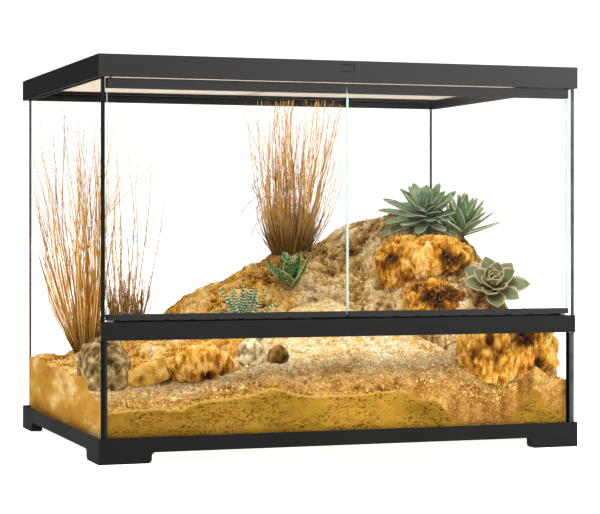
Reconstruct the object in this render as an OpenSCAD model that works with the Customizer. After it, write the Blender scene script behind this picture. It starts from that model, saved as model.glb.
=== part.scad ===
// Front-opening reptile terrarium: a glass box between a raised base frame and a top rim,
// with two hinged front doors, a ventilated rail under them, a lift-off screen cover,
// sliding cable gates, and the planted desert landscape that it holds.
// Millimetres, +Z up, X to the right seen from the front, origin at the middle of the base.

/* [Overall] */
// Width over the base frame and the top rim
frame_w = 600; // [560:5:660]
// Depth over the base frame and the top rim
frame_d = 450; // [430:5:500]
// Height from the feet to the top of the rim
frame_h = 465; // [440:5:520]

/* [Base frame] */
// Height of the base frame, feet included
base_h = 30; // [28:0.5:36]
// Gap under the beams between the feet
foot_gap = 12.4; // [9:0.2:13]
// Length of a foot along each beam
foot_len = 62; // [45:1:90]
// Thickness of the feet, front to back
foot_depth = 14; // [9:0.5:20]
// Radius at the foot's lower corner
foot_round = 5; // [2:0.5:5.5]
// Radius where a foot joins the beam
foot_blend = 4.5; // [2:0.5:5]
// Outer wall of the base, the rim and the rail
wall = 3; // [2.4:0.1:4]
// Thickness of the ledge that carries the glass
ledge_t = 3; // [2:0.2:4]
// Reach of the ledge in from the outer face
ledge_reach = 28; // [22:1:40]
// Height of the ledge's top face above the floor
ledge_z = 17; // [16:0.5:18]

/* [Glass] */
// Thickness of the fixed panes
pane_t = 5; // [4:0.5:6]
// Thickness of the door panes
door_t = 4; // [3:0.5:4.5]
// Width of the silicone joint beside the front and back panes
joint_w = 2; // [1:0.2:4]
// Leg of the silicone fillet inside the two front corners
fillet = 2; // [1:0.5:4]
// Leg of the silicone fillet inside the two rear corners
rear_fillet = 0.5; // [0.5:0.5:3]
// Clearance between a pane and the plastic around it
pane_gap = 0.2; // [0.1:0.05:0.4]

/* [Front rail] */
// Height of the rail's lower edge
rail_z = 140.2; // [120:0.2:170]
// Height of the rail
rail_h = 20.8; // [18:0.2:28]
// Thickness of the rail's top web
rail_web = 5; // [4:0.5:6]
// Depth of the rail between the side panes
rail_d = 17.5; // [16.5:0.5:22]
// Height of the door stop behind the doors
stop_h = 7; // [6:0.5:9]
// Thickness of the door stop
stop_t = 2; // [1.6:0.2:3]
// Number of vent slots on each side of the catch plates
vent_n = 8; // [4:1:10]
// Length of a vent slot
vent_l = 24; // [14:1:25]
// Height of a vent slot
vent_h = 4.4; // [4.2:0.1:4.6]
// Thickness of the vent gauze
gauze_t = 0.6; // [0.4:0.1:1]

/* [Doors] */
// Height of a door's top rail
door_top_h = 11.4; // [9:0.2:14]
// Height of a door's bottom rail
door_bot_h = 6.4; // [6:0.2:10]
// Depth of the door rails, front to back
door_rail_d = 12; // [10.5:0.5:13]
// Gap between the two doors
door_gap = 2.5; // [1.5:0.5:5]
// Gap between a door's outer end and the side pane
door_side_gap = 2; // [1.8:0.1:4]
// Gap between the rim's lower edge and a door
door_head_gap = 0.8; // [0.5:0.1:2]
// Radius of the hinge pins
pin_r = 1.5; // [1.2:0.1:1.8]
// Radial clearance of the hinge pins in their bores
pin_clear = 0.05; // [0.03:0.01:0.09]
// Thickness of the washer that a door turns on
washer_t = 2.2; // [1.6:0.2:3]
// Length of a catch magnet
magnet_l = 20; // [10:1:26]
// Height of a catch magnet
magnet_h = 3; // [2:0.2:3.4]

/* [Top rim] */
// Height of the rim
rim_h = 26; // [24:0.5:32]
// Height of the rim's seat for the cover, above its lower edge
seat_up = 10; // [9:0.5:12]
// Thickness of the seat's web
seat_t = 2; // [1.6:0.2:3]
// Reach of the seat under the cover
seat_reach = 11; // [9:0.5:14]
// Depth of the cable strip along the back
strip_d = 31; // [30:1:36]
// Thickness of the cable strip's top
strip_t = 5; // [4.6:0.2:6]
// Thickness of the inner skirt beside the glass
skirt_t = 2.5; // [2:0.1:3.5]

/* [Cable gates] */
// Length of a cable slot
slot_l = 22; // [16:1:24]
// Width of a cable slot
slot_w = 11; // [8:0.5:12]
// Overlap of a closed gate past each end of its slot
gate_lap = 2.5; // [1.5:0.5:4]
// Thickness of a gate's flange
gate_t = 1.4; // [1:0.1:1.8]
// Distance between neighbouring gates
gate_pitch = 56; // [55:1:66]

/* [Screen cover] */
// Width of a wire of the screen
wire_w = 1.2; // [0.8:0.1:1.6]
// Width of the cover's bars
bar_w = 14; // [12:0.5:20]
// Clearance round the cover
cover_gap = 1; // [0.6:0.1:1.6]
// Width of the cover's middle brace
brace_w = 10; // [6:0.5:16]
// Thickness of the wire screen
screen_t = 0.8; // [0.6:0.1:1.2]
// Openings of the screen along its width
screen_nx = 16; // [10:1:20]
// Openings of the screen along its depth
screen_ny = 11; // [8:1:14]
// Width of the release button
button_w = 15.4; // [12:0.2:20]
// Height of the release button
button_h = 8.4; // [7:0.2:9]
// Travel of the release button
button_travel = 2; // [1:0.1:2.4]

/* [Landscape] */
// Height of the sand in the middle of the front pane, above the bottom pane
sand_h = 46; // [36:1:60]
// Height of the mound's top above the bottom pane
mound_h = 268; // [200:2:280]
// Length of the big agave's longest leaves
agave_leaf = 72; // [45:1:80]
// Length of the small agave's longest leaves
offset_leaf = 50; // [35:1:60]
// Radius of the grey rosette
rosette_r = 46; // [30:1:50]
// Length of the zebra plant's longest leaves
zebra_leaf = 56; // [30:1:60]
// Length of the spotted plant's longest leaves
spotted_leaf = 50; // [30:1:54]
// Number of stalks in each grass tuft
stalk_n = 52; // [30:1:70]
// Height of the tallest stalks in the left tuft
left_tuft_h = 320; // [200:5:360]
// Height of the tallest stalks in the centre tuft
centre_tuft_h = 235; // [120:5:260]
// Radius of the clay pot at its rim
pot_r = 22; // [18:0.5:26]
// Radius of the boulder
boulder_r = 40; // [28:1:44]

/* [Hidden] */
$fn = 48;
eps = 0.01;

plastic = [0.07, 0.07, 0.075];
glass = [0.72, 0.86, 0.84, 0.3];
steel = [0.72, 0.71, 0.68];

// Places that several pieces share
half_w = frame_w / 2;
half_d = frame_d / 2;
pane_x = half_w - wall;                    // outer face of the side panes
inner_x = pane_x - pane_t;                 // inner face of the side panes
pane_y = half_d - wall;                    // outer face of the front and back panes
inner_y = pane_y - pane_t;                 // inner face of the front and back panes
floor_z = ledge_z + pane_t;                // top of the bottom pane
rim_z = frame_h - rim_h;                   // lower edge of the rim
seat_z = rim_z + seat_up;                  // face that the cover rests on
pane_top = seat_z - seat_t - pane_gap;     // top edge of the side and back panes
rail_top = rail_z + rail_h;
front_top = rail_top - rail_web - 0.6;     // top edge of the lower front pane
joint_x = inner_x - joint_w;               // end of the front and back panes

// Doors: the hinge line stands half a rail's depth in from the door's end and front
door_y = -pane_y;                          // front of the door rails
hinge_r = door_rail_d / 2;
hinge_x = inner_x - door_side_gap - hinge_r;
hinge_y = door_y + hinge_r;
corner_r = 2;                              // front corner of a door rail at the hinge
door_low = rail_top + washer_t;
door_high = rim_z - door_head_gap;
glass_in = 3;                              // front of the door glass behind the rail's front
glass_low = door_low + 2;
glass_high = door_high - 3.4;
pin_in_rail = rail_web - 0.2;              // depth of the lower pin, clear of the front pane's top
header_z = rim_z + 2;                      // underside of the rim's front header
header_d = 18;
pin_in_header = 5.5;

// Catch: magnets in the doors, steel plates in the stop
stop_y = door_y + door_rail_d + 0.5;       // front of the door stop
catch_x = 12;
plate_t = 0.8;
vent_from = catch_x + magnet_l + 6;
vent_pitch = (hinge_x - hinge_r - 4 - vent_from) / vent_n;

// Cover, button and strip
strip_y = half_d - strip_d;                // front of the cable strip
cover_x = pane_x - cover_gap;
cover_front = -pane_y + cover_gap;
cover_back = strip_y - cover_gap;
cover_top = frame_h - 1;
screen_z = seat_z + 0.9;
button_z = frame_h - 8.9;                  // middle of the button
window_gap = 0.4;
button_sunk = 0.6;                         // face of the button behind the rim's face
flange_t = 1.5;
guide_x = button_w / 2 + 2.6;
guide_t = 1.7;                             // thickness of the guides beside the button
guide_d = flange_t + button_travel + 1.5;
pocket_d = guide_d + 0.5;                  // depth of the cover's pocket behind the button
latch_x = guide_x + 12;                    // half length of the cover's latch piece

// Cable gates
gate_l = slot_l + 2 * gate_lap;
gate_travel = slot_l + 2;
channel_l = gate_l + gate_travel + 0.6;
channel_x = inner_x - 4;                   // outer end of the outer channel
channel_y = strip_y + strip_d / 2 - 0.5;
channel_z = frame_h - 2.8;
lip_w = 2.5;
lip_z = frame_h - 1.1;
gate_play = 0.3;                           // gap on each side of a gate in its channel
grip_t = 1.2;                              // thickness of a gate's finger ribs
grip_pitch = 4;

// Landscape: heights above the bottom pane along the box, from -1 at the left pane to 1 at the right
front_line = [[-1, -11], [-.88, -6], [-.7, -6], [-.61, 0], [-.4, 6], [-.32, 12], [-.28, 11], [-.2, 3],
    [0, 1], [.13, 5], [.23, 6], [.32, 3], [.42, -3], [.51, -10], [.61, -17], [.7, -5], [.75, 6],
    [.8, 18], [.855, 28], [.9, 17], [1, 13]];
sand_edge = [[-1, .2], [-.68, .21], [-.41, .27], [-.2, .36], [0, .48], [.2, .52], [.41, .36],
    [.52, .15], [.68, .07], [1, .07]];
edge_line = [[-1, 53], [-.68, 62], [-.41, 78], [-.2, 103], [0, 143], [.2, 153], [.41, 123], [.52, 93],
    [.6, 78], [.68, 58], [.76, 55], [.83, 62], [.93, 68], [1, 62]];
ridge_edge = [[-1, .85], [-.5, .76], [0, .69], [.34, .62], [.68, .53], [1, .46]];
ridge_line = [[-1, -195], [-.68, -180], [-.52, -144], [-.23, -96], [0, -65], [.2, -46], [.32, -28],
    [.42, -14], [.54, -3], [.65, -6], [.8, -26], [.9, -72], [1, -158]];
back_line = [[-1, 70], [-.5, 90], [0, 130], [.5, 160], [.85, 150], [1, 80]];
sand_gap = 0.3;

function clamp01(t) = max(0, min(1, t));
function ease(t) = let (c = clamp01(t)) c * c * (3 - 2 * c);
function mix(a, b, t) = a + (b - a) * t;
function ripple(u, v) = sin(530 * u + 310 * v) * cos(290 * v - 410 * u)
    + 0.5 * sin(1130 * v - 870 * u) + 0.35 * cos(1750 * u + 1320 * v);
function land_x(u) = u * (inner_x - sand_gap);
function land_y(v) = mix(-inner_y + sand_gap, inner_y - sand_gap, v);
function front_h(u) = sand_h + lookup(u, front_line);
function sand_height(u, v) = floor_z + mix(front_h(u), lookup(u, edge_line),
    ease(0.5 + 0.5 * v / lookup(u, sand_edge)) * 2 - 1) + 1.2 * ripple(u, v);
function mound_height(u, v) = let (start = lookup(u, sand_edge), top = lookup(u, ridge_edge),
        crest = mound_h + lookup(u, ridge_line))
    floor_z + 4.5 * ripple(u, v)
    + (v < top ? mix(lookup(u, edge_line) + 9, crest,
                     ease(0.22 + 0.78 * (v - start) / (top - start)) * 1.13 - 0.13)
               : mix(crest, lookup(u, back_line), ease((v - top) / (1 - top))));
function ground_height(u, v) = v < lookup(u, sand_edge) ? sand_height(u, v) : mound_height(u, v);
function on_ground(u, v, up = 0) = [land_x(u), land_y(v), ground_height(u, v) + up];

// Steps of the two grids, along the box and front to back
sand_nu = 36;
sand_nv = 8;
mound_nu = 36;
mound_nv = 17;

// Solid under a grid of heights, down to the bottom pane
module land_solid(nu, nv, points) {
    loop = concat([for (i = [0:nu - 1]) i],
        [for (j = [0:nv - 1]) j * (nu + 1) + nu],
        [for (i = [nu:-1:1]) nv * (nu + 1) + i],
        [for (j = [nv:-1:1]) j * (nu + 1)]);
    n = len(points);
    m = len(loop);
    feet = [for (k = loop) [points[k].x, points[k].y, floor_z + eps]];
    tops = [for (j = [0:nv - 1]) for (i = [0:nu - 1]) let (a = j * (nu + 1) + i, b = a + nu + 1)
        each [[a, b, b + 1], [a, b + 1, a + 1]]];
    walls = [for (k = [0:m - 1]) let (l = (k + 1) % m)
        each [[loop[k], loop[l], n + l], [loop[k], n + l, n + k]]];
    polyhedron(concat(points, feet), concat(tops, walls, [[for (k = [0:m - 1]) n + k]]), convexity = 8);
}

// Lumpy stone: a ball stretched to its radii, with a few waves over it
module lump(centre, radii, seed, waves = 0.1, rows = 8, turns = 13) {
    function bump(a, e) = 1 + waves * (sin(2 * a + 67 * seed) * cos(3 * e + 41 * seed)
        + 0.6 * sin(5 * a - 4 * e + 23 * seed));
    rings = [for (r = [1:rows - 1]) for (s = [0:turns - 1])
        let (e = -90 + 180 * r / rows, a = 360 * s / turns, k = bump(a, e))
        [centre.x + radii.x * k * cos(e) * cos(a), centre.y + radii.y * k * cos(e) * sin(a),
         centre.z + radii.z * k * sin(e)]];
    points = concat(rings, [centre - [0, 0, radii.z], centre + [0, 0, radii.z]]);
    n = len(rings);
    sides = [for (r = [0:rows - 3]) for (s = [0:turns - 1])
        let (a = r * turns + s, b = r * turns + (s + 1) % turns)
        each [[a, a + turns, b + turns], [a, b + turns, b]]];
    ends = [for (s = [0:turns - 1]) let (t = (s + 1) % turns)
        each [[n, s, t], [n + 1, (rows - 2) * turns + t, (rows - 2) * turns + s]]];
    polyhedron(points, concat(sides, ends), convexity = 4);
}

// Strip that rises from a base and bends as it goes: a leaf or a stalk.
// width(t) and depth(t) are read from two tables along its length.
module frond(base, azimuth, rise_from, rise_to, length, widths, depths, steps = 4, sides = 4) {
    along = [cos(azimuth), sin(azimuth), 0];
    across = [-sin(azimuth), cos(azimuth), 0];
    function rise(t) = mix(rise_from, rise_to, t);
    function axis(k) = k == 0 ? base
        : let (e = rise((k - 0.5) / steps)) axis(k - 1) + length / steps * (along * cos(e) + [0, 0, sin(e)]);
    rings = [for (k = [0:steps - 1]) let (t = k / steps, e = rise(t), p = axis(k),
            over = [0, 0, cos(e)] - along * sin(e))
        for (s = [0:sides - 1]) let (a = 360 * s / sides)
        p + across * lookup(t, widths) / 2 * cos(a) + over * lookup(t, depths) / 2 * sin(a)];
    n = len(rings);
    skin = [for (k = [0:steps - 2]) for (s = [0:sides - 1])
        let (a = k * sides + s, b = k * sides + (s + 1) % sides)
        each [[a, a + sides, b + sides], [a, b + sides, b]]];
    tip = [for (s = [0:sides - 1]) [n - sides + s, n, n - sides + (s + 1) % sides]];
    polyhedron(concat(rings, [axis(steps)]), concat(skin, tip, [[for (s = [0:sides - 1]) s]]), convexity = 3);
}

stem_l = 28;                               // length of a stem below its lowest leaves, root included
heart_h = 12;                              // height of the solid heart above them

// Leaves set round a short stem, each turned on from the last by the golden angle
module rosette(base, count, length, rise_low, rise_high, bend, widths, depths, lean = [0, 0]) {
    golden = 137.508;
    for (i = [0:count - 1]) {
        t = i / (count - 1);
        turn = golden * i;
        tip = lean.x * cos(turn) + lean.y * sin(turn);
        frond(base + [0, 0, 10 * t] + [cos(turn), sin(turn), 0] * mix(5, 1, t), turn,
            mix(rise_low, rise_high, t) - tip, mix(rise_low, rise_high, t) + bend - tip,
            length * mix(1, 0.55, t), widths, depths);
    }
    translate(base - [0, 0, stem_l]) cylinder(r = 6, h = stem_l + heart_h, $fn = 12);
}

// Fan of dry stalks from a dense foot that widens to the crown; aslant leans them all along X
module grass_tuft(base, foot, spread, height, count, crown, seed, aslant = 0) {
    top_z = pane_top - 10;
    for (i = [0:count - 1]) {
        turn = 137.508 * i + 31 * seed;
        out = sqrt((i + 0.5) / count);
        lean = 90 - spread * out * (0.72 + 0.28 * sin(97 * i)) - aslant * cos(turn);
        start = base + [cos(turn), sin(turn), 0] * foot * out;
        tall = height * (0.62 + 0.38 * abs(sin(53 * i + 11 * seed)));
        reach = min(tall, (top_z - start.z) / sin(lean),
            (inner_x - 8 - abs(start.x)) / max(0.05, abs(cos(lean) * cos(turn))),
            (inner_y - 8 - abs(start.y)) / max(0.05, abs(cos(lean) * sin(turn))));
        frond(start - [0, 0, 4], turn, lean, lean + 4 * sin(71 * i), reach,
            [[0, 3.2], [1, 1]], [[0, 2.8], [1, 0.8]], steps = 2, sides = 3);
    }
    translate(base - [0, 0, foot]) cylinder(r = foot + 1, h = foot + 4, $fn = 14);
    translate(base + [0, 0, 4 - eps]) cylinder(r1 = foot + 1, r2 = foot * 1.25, h = crown, $fn = 14);
}

// ---- Case ----

// Outline of one wall of the base: a beam with a foot at each end
module base_wall_outline(length) {
    difference() {
        square([length, base_h]);
        difference() {
            translate([foot_len, -eps]) square([length - 2 * foot_len, foot_gap + eps]);
            for (x = [foot_len, length - foot_len]) mirrored_at(x, length / 2)
                translate([0, foot_gap - foot_blend]) difference() {
                    square(foot_blend + eps);
                    translate([foot_blend, 0]) circle(foot_blend);
                }
        }
        for (x = [foot_len, length - foot_len]) mirrored_at(x, length / 2)
            translate([-foot_round, -eps]) difference() {
                square([foot_round + eps, foot_round + eps]);
                translate([0, foot_round + eps]) circle(foot_round);
            }
    }
}

// Places a shape at x, turned to face the middle
module mirrored_at(x, middle) {
    translate([x, 0]) if (x < middle) children(); else mirror([1, 0]) children();
}

module base_wall(length, reach) {
    rotate([90, 0, 0]) linear_extrude(reach) base_wall_outline(length);
}

module base_frame() {
    color(plastic) union() {
        for (side = [-1, 1]) {
            translate([-half_w, side > 0 ? half_d : -pane_y, 0]) base_wall(frame_w, wall);
            translate([side > 0 ? pane_x : -half_w, half_d, 0]) rotate([0, 0, -90])
                translate([0, wall, 0]) base_wall(frame_d, wall);
        }
        // ledge under the glass
        difference() {
            translate([-half_w + eps, -half_d + eps, ledge_z - ledge_t])
                cube([frame_w - 2 * eps, frame_d - 2 * eps, ledge_t]);
            translate([-half_w + ledge_reach, -half_d + ledge_reach, 0])
                cube([frame_w - 2 * ledge_reach, frame_d - 2 * ledge_reach, base_h]);
        }
        base_feet();
    }
}

// Feet: L-shaped blocks in the four corners, rounded like the walls
module base_feet() {
    intersection() {
        union() {
            for (y = [-pane_y + foot_depth - wall, half_d]) translate([-half_w, y, 0])
                base_wall(frame_w, foot_depth);
            for (x = [-half_w, half_w - foot_depth]) translate([x, half_d, 0]) rotate([0, 0, -90])
                translate([0, foot_depth, 0]) base_wall(frame_d, foot_depth);
        }
        for (x = [-half_w + eps, half_w - foot_len - eps]) for (y = [-half_d + eps, half_d - foot_len - eps])
            translate([x, y, 0]) cube([foot_len, foot_len, ledge_z - ledge_t + eps]);
    }
}

module bottom_pane() {
    color(glass) translate([-inner_x + pane_gap, -inner_y + pane_gap, ledge_z])
        cube([2 * (inner_x - pane_gap), 2 * (inner_y - pane_gap), pane_t]);
}

module side_pane(side) {
    color(glass) translate([side > 0 ? inner_x : -pane_x + pane_gap, -pane_y + pane_gap, ledge_z])
        cube([pane_t - pane_gap, 2 * (pane_y - pane_gap), pane_top - ledge_z]);
}

module back_pane() {
    color(glass) translate([-joint_x, inner_y, ledge_z])
        cube([2 * joint_x, pane_t - pane_gap, pane_top - ledge_z]);
}

module front_pane() {
    color(glass) translate([-joint_x, -pane_y + pane_gap, ledge_z])
        cube([2 * joint_x, pane_t - pane_gap, front_top - ledge_z]);
}

// One upright silicone joint with its fillet, in the corner at the right and back
module seam(height, leg) {
    linear_extrude(height) polygon([[inner_x, inner_y - leg], [inner_x, pane_y - pane_gap],
        [joint_x, pane_y - pane_gap], [joint_x, inner_y], [inner_x - leg - joint_w + eps, inner_y]]);
}

module silicone_seams() {
    color([0.03, 0.03, 0.03]) for (side = [0, 1]) mirror([side, 0, 0]) {
        translate([0, 0, floor_z]) seam(rim_z - floor_z - 0.5, rear_fillet);
        mirror([0, 1, 0]) translate([0, 0, floor_z]) seam(rail_z - floor_z - 0.5, fillet);
    }
}

// Front rail: a cap over the lower pane with hinge bosses and a vented door stop behind the doors
module vent_rail() {
    back_wall = -inner_y + pane_gap;
    color(plastic) difference() {
        union() {
            translate([-pane_x, -half_d, rail_z]) cube([2 * pane_x, wall - pane_gap, rail_h]);
            translate([-inner_x + pane_gap, -half_d, rail_top - rail_web])
                cube([2 * (inner_x - pane_gap), rail_d, rail_web]);
            translate([-inner_x + pane_gap, back_wall, rail_z])
                cube([2 * (inner_x - pane_gap), 2.5, rail_h]);
            for (side = [-1, 1]) translate([side * hinge_x - hinge_r, -pane_y - 1, front_top + 0.2])
                cube([2 * hinge_r, hinge_r + 5, rail_top - front_top - 0.2]);
            // the stop ends at the hinges, clear of the turned doors
            translate([-hinge_x, stop_y, rail_top - eps])
                cube([2 * hinge_x, stop_t, stop_h + eps]);
        }
        for (side = [-1, 1]) {
            // bores for the lower hinge pins
            translate([side * hinge_x, hinge_y, rail_top - pin_in_rail - 0.3])
                cylinder(r = pin_r + pin_clear, h = pin_in_rail + 1);
            // vent slots in the stop
            for (i = [0:vent_n - 1]) mirror([side > 0 ? 0 : 1, 0, 0])
                translate([vent_from + (i + 0.5) * vent_pitch - vent_l / 2, stop_y - 1, rail_top + 1])
                    cube([vent_l, stop_t + 2, vent_h]);
            // pockets for the catch plates
            translate([side * (catch_x + magnet_l / 2) - magnet_l / 2, stop_y - eps, rail_top + 2])
                cube([magnet_l, plate_t + eps, magnet_h + 1]);
        }
    }
}

module vent_gauze() {
    color(steel) for (side = [0, 1]) mirror([side, 0, 0])
        translate([vent_from - 2, stop_y + stop_t, rail_top])
            cube([vent_pitch * vent_n + 4, gauze_t, stop_h - 0.6]);
}

module catch_plates() {
    color(steel) for (side = [-1, 1])
        translate([side * (catch_x + magnet_l / 2) - magnet_l / 2, stop_y, rail_top + 2])
            cube([magnet_l, plate_t, magnet_h + 1]);
}

module hinge_washers() {
    color([0.85, 0.85, 0.82]) for (side = [-1, 1]) translate([side * hinge_x, hinge_y, rail_top])
        difference() {
            cylinder(r = pin_r + 2, h = washer_t);
            translate([0, 0, -1]) cylinder(r = pin_r + 0.15, h = washer_t + 2);
        }
}

// ---- Top rim ----

module top_rim() {
    seat_in = half_w - wall - seat_reach;
    color(plastic) difference() {
        union() {
            rim_walls();
            // front header that holds the upper hinge pins
            translate([-pane_x - eps, -pane_y - eps, header_z])
                cube([2 * (pane_x + eps), header_d, seat_z - header_z]);
            // seat and inner skirt along the sides
            for (side = [-1, 1]) {
                translate([side > 0 ? seat_in : -pane_x - eps, -pane_y, seat_z - seat_t])
                    cube([seat_reach + eps, 2 * pane_y, seat_t]);
                translate([side > 0 ? inner_x - pane_gap - skirt_t : -inner_x + pane_gap, -pane_y, rim_z])
                    cube([skirt_t, 2 * pane_y, seat_up - seat_t + eps]);
            }
            cable_strip();
            button_guides();
        }
        // room for the door heads under the header, and for the side panes
        translate([-inner_x + pane_gap - eps, -pane_y, rim_z - 1])
            cube([2 * (inner_x - pane_gap + eps), header_d, header_z - rim_z + 1]);
        for (side = [-1, 1]) {
            translate([side * hinge_x, hinge_y, header_z - 1])
                cylinder(r = pin_r + pin_clear, h = pin_in_header + 1.3);
            translate([side > 0 ? inner_x - pane_gap : -pane_x - eps, -pane_y - eps, rim_z - 1])
                cube([pane_t + pane_gap + eps, 2 * pane_y + 2 * eps, pane_top + pane_gap - rim_z + 1]);
        }
        // room for the back pane
        translate([-joint_x - pane_gap, inner_y - pane_gap, rim_z - 1])
            cube([2 * (joint_x + pane_gap), pane_t + pane_gap, pane_top + pane_gap - rim_z + 1]);
        // window for the release button
        translate([-button_w / 2 - window_gap, -half_d - 1, button_z - button_h / 2 - window_gap])
            cube([button_w + 2 * window_gap, wall + 1 + eps, button_h + 2 * window_gap]);
        for (i = [0:3]) gate_channel(i);
    }
}

module rim_walls() {
    difference() {
        translate([-half_w, -half_d, rim_z]) cube([frame_w, frame_d, rim_h]);
        translate([-pane_x, -pane_y, rim_z - 1]) cube([2 * pane_x, 2 * pane_y, rim_h + 2]);
    }
}

// Hollow strip along the back: its top carries the cable gates, its foot caps the back pane
module cable_strip() {
    translate([-pane_x - eps, strip_y, frame_h - strip_t])
        cube([2 * (pane_x + eps), strip_d - wall + eps, strip_t]);
    translate([-pane_x - eps, strip_y, seat_z - seat_t])
        cube([2 * (pane_x + eps), 2.5, frame_h - seat_z + seat_t]);
    translate([-pane_x - eps, strip_y - 8, seat_z - seat_t]) cube([2 * (pane_x + eps), 8 + eps, seat_t]);
    translate([-pane_x - eps, inner_y - pane_gap - skirt_t, seat_z - seat_t])
        cube([2 * (pane_x + eps), pane_t + pane_gap + skirt_t + eps, seat_t]);
    translate([-inner_x + pane_gap, inner_y - pane_gap - skirt_t, rim_z])
        cube([2 * (inner_x - pane_gap), skirt_t, seat_up - seat_t + eps]);
}

module button_guides() {
    for (side = [-1, 1]) translate([side > 0 ? guide_x : -guide_x - guide_t, -pane_y - eps, seat_z - eps])
        cube([guide_t, guide_d, button_z + button_h / 2 - seat_z + 1]);
}

// Where a gate's channel starts, and which way the gate opens
function gate_side(i) = i < 2 ? -1 : 1;
function gate_start(i) = channel_x - (i == 1 || i == 2 ? gate_pitch : 0);

module gate_channel(i) {
    x0 = gate_start(i);
    mirror([gate_side(i) < 0 ? 1 : 0, 0, 0]) {
        translate([x0 - channel_l, channel_y - slot_w / 2 - lip_w, channel_z])
            cube([channel_l, slot_w + 2 * lip_w, lip_z - channel_z]);
        translate([x0 - channel_l, channel_y - slot_w / 2, channel_z]) cube([channel_l, slot_w, 4]);
        translate([x0 - gate_lap - slot_l, channel_y - slot_w / 2, frame_h - strip_t - 1])
            cube([slot_l, slot_w, strip_t + 2]);
    }
}

module cable_gate(i) {
    x0 = gate_start(i) - 0.2;
    flange_w = slot_w + 2 * (lip_w - gate_play);
    color(plastic) mirror([gate_side(i) < 0 ? 1 : 0, 0, 0]) {
        translate([x0 - gate_l, channel_y - flange_w / 2, channel_z]) cube([gate_l, flange_w, gate_t]);
        translate([x0 - gate_l, channel_y - slot_w / 2 + gate_play, channel_z])
            cube([gate_l, slot_w - 2 * gate_play, gate_t + 0.8]);
        for (k = [-1:1])
            translate([x0 - gate_l / 2 + grip_pitch * k - grip_t / 2, channel_y - slot_w / 2 + 1.5,
                channel_z + gate_t + 0.7]) cube([grip_t, slot_w - 3, 0.65]);
    }
}

// ---- Cover and release button ----

module cover_body() {
    difference() {
        union() {
            difference() {
                translate([-cover_x, cover_front, seat_z])
                    cube([2 * cover_x, cover_back - cover_front, cover_top - seat_z]);
                translate([-cover_x + bar_w, cover_front + bar_w, seat_z - 1])
                    cube([2 * (cover_x - bar_w), cover_back - cover_front - 2 * bar_w, frame_h]);
            }
            translate([-brace_w / 2, cover_front + bar_w - eps, screen_z + screen_t + 0.1])
                cube([brace_w, cover_back - cover_front - 2 * bar_w + 2 * eps, 5]);
        }
        // groove that holds the screen
        translate([-cover_x + bar_w - 3.2, cover_front + bar_w - 3.2, screen_z - 0.1])
            cube([2 * (cover_x - bar_w + 3.2), cover_back - cover_front - 2 * bar_w + 6.4, screen_t + 0.2]);
        // pocket that clears the release button and its guides
        translate([-guide_x - 3, cover_front - 1, seat_z - 1])
            cube([2 * (guide_x + 3), pocket_d + 1, button_z + button_h / 2 - seat_z + 2.6]);
    }
}

// Stretch of the cover's front bar that holds the pocket
module latch_zone() {
    translate([-latch_x, cover_front - 1, seat_z - 1])
        cube([2 * latch_x, bar_w + 1, cover_top - seat_z + 2]);
}

module cover_frame() {
    color([0.09, 0.09, 0.095]) difference() {
        cover_body();
        latch_zone();
    }
}

module cover_latch() {
    color([0.09, 0.09, 0.095]) intersection() {
        cover_body();
        latch_zone();
    }
}

module cover_screen() {
    half_x = cover_x - bar_w + 3;
    y0 = cover_front + bar_w - 3;
    depth = cover_back - cover_front - 2 * bar_w + 6;
    color(steel) union() {
        for (i = [0:screen_nx]) translate([mix(-half_x, half_x - wire_w, i / screen_nx), y0, screen_z])
            cube([wire_w, depth, screen_t]);
        for (j = [0:screen_ny]) translate([-half_x, y0 + (depth - wire_w) * j / screen_ny, screen_z])
            cube([2 * half_x, wire_w, screen_t]);
    }
}

module release_button() {
    color(plastic) {
        translate([-button_w / 2, -half_d + button_sunk, button_z - button_h / 2])
            cube([button_w, wall - button_sunk + 0.1 + eps, button_h]);
        translate([-guide_x + 0.2, -pane_y + 0.1, seat_z + 0.2])
            cube([2 * guide_x - 0.4, flange_t, button_z + button_h / 2 - seat_z + 0.8]);
    }
}

// ---- Doors, drawn for the left side and mirrored for the right ----

module door_side(side) {
    if (side < 0) children(); else mirror([1, 0, 0]) children();
}

// Rail of one door: rounded at the hinge end so that it clears the side pane, grooved for the glass
module door_rail(z0, height, groove_z, groove_h, pin_z, pin_h) {
    difference() {
        union() {
            hull() {
                translate([-hinge_x, hinge_y, z0]) cylinder(r = hinge_r, h = height);
                translate([-hinge_x - hinge_r + corner_r, door_y + corner_r, z0])
                    cylinder(r = corner_r, h = height);
            }
            translate([-hinge_x, door_y, z0]) cube([hinge_x - door_gap / 2, door_rail_d, height]);
        }
        translate([-hinge_x - hinge_r - 1, door_y + glass_in - 0.1, groove_z])
            cube([hinge_x + hinge_r + 1, door_t + 0.2, groove_h]);
        translate([-hinge_x, hinge_y, pin_z]) cylinder(r = pin_r + 0.01, h = pin_h);
    }
}

module door_glass(side) {
    outer = 4.5;
    color(glass) door_side(side) translate([-hinge_x - outer, door_y + glass_in, glass_low])
        cube([hinge_x + outer - door_gap / 2, door_t, glass_high - glass_low]);
}

module door_top_rail(side) {
    color(plastic) door_side(side)
        door_rail(door_high - door_top_h, door_top_h, door_high - door_top_h - 1,
            glass_high - door_high + door_top_h + 1.1, glass_high + 0.3, 8);
}

module door_bottom_rail(side) {
    color(plastic) door_side(side) difference() {
        door_rail(door_low, door_bot_h, glass_low - 0.1, door_bot_h, door_low - 1, glass_low - door_low + 0.8);
        translate([-catch_x - magnet_l, door_y + door_rail_d - 3, door_low + 1])
            cube([magnet_l, 3 + eps, magnet_h]);
    }
}

module door_magnet(side) {
    color([0.5, 0.5, 0.52]) door_side(side)
        translate([-catch_x - magnet_l, door_y + door_rail_d - 3, door_low + 1]) cube([magnet_l, 3, magnet_h]);
}

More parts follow.
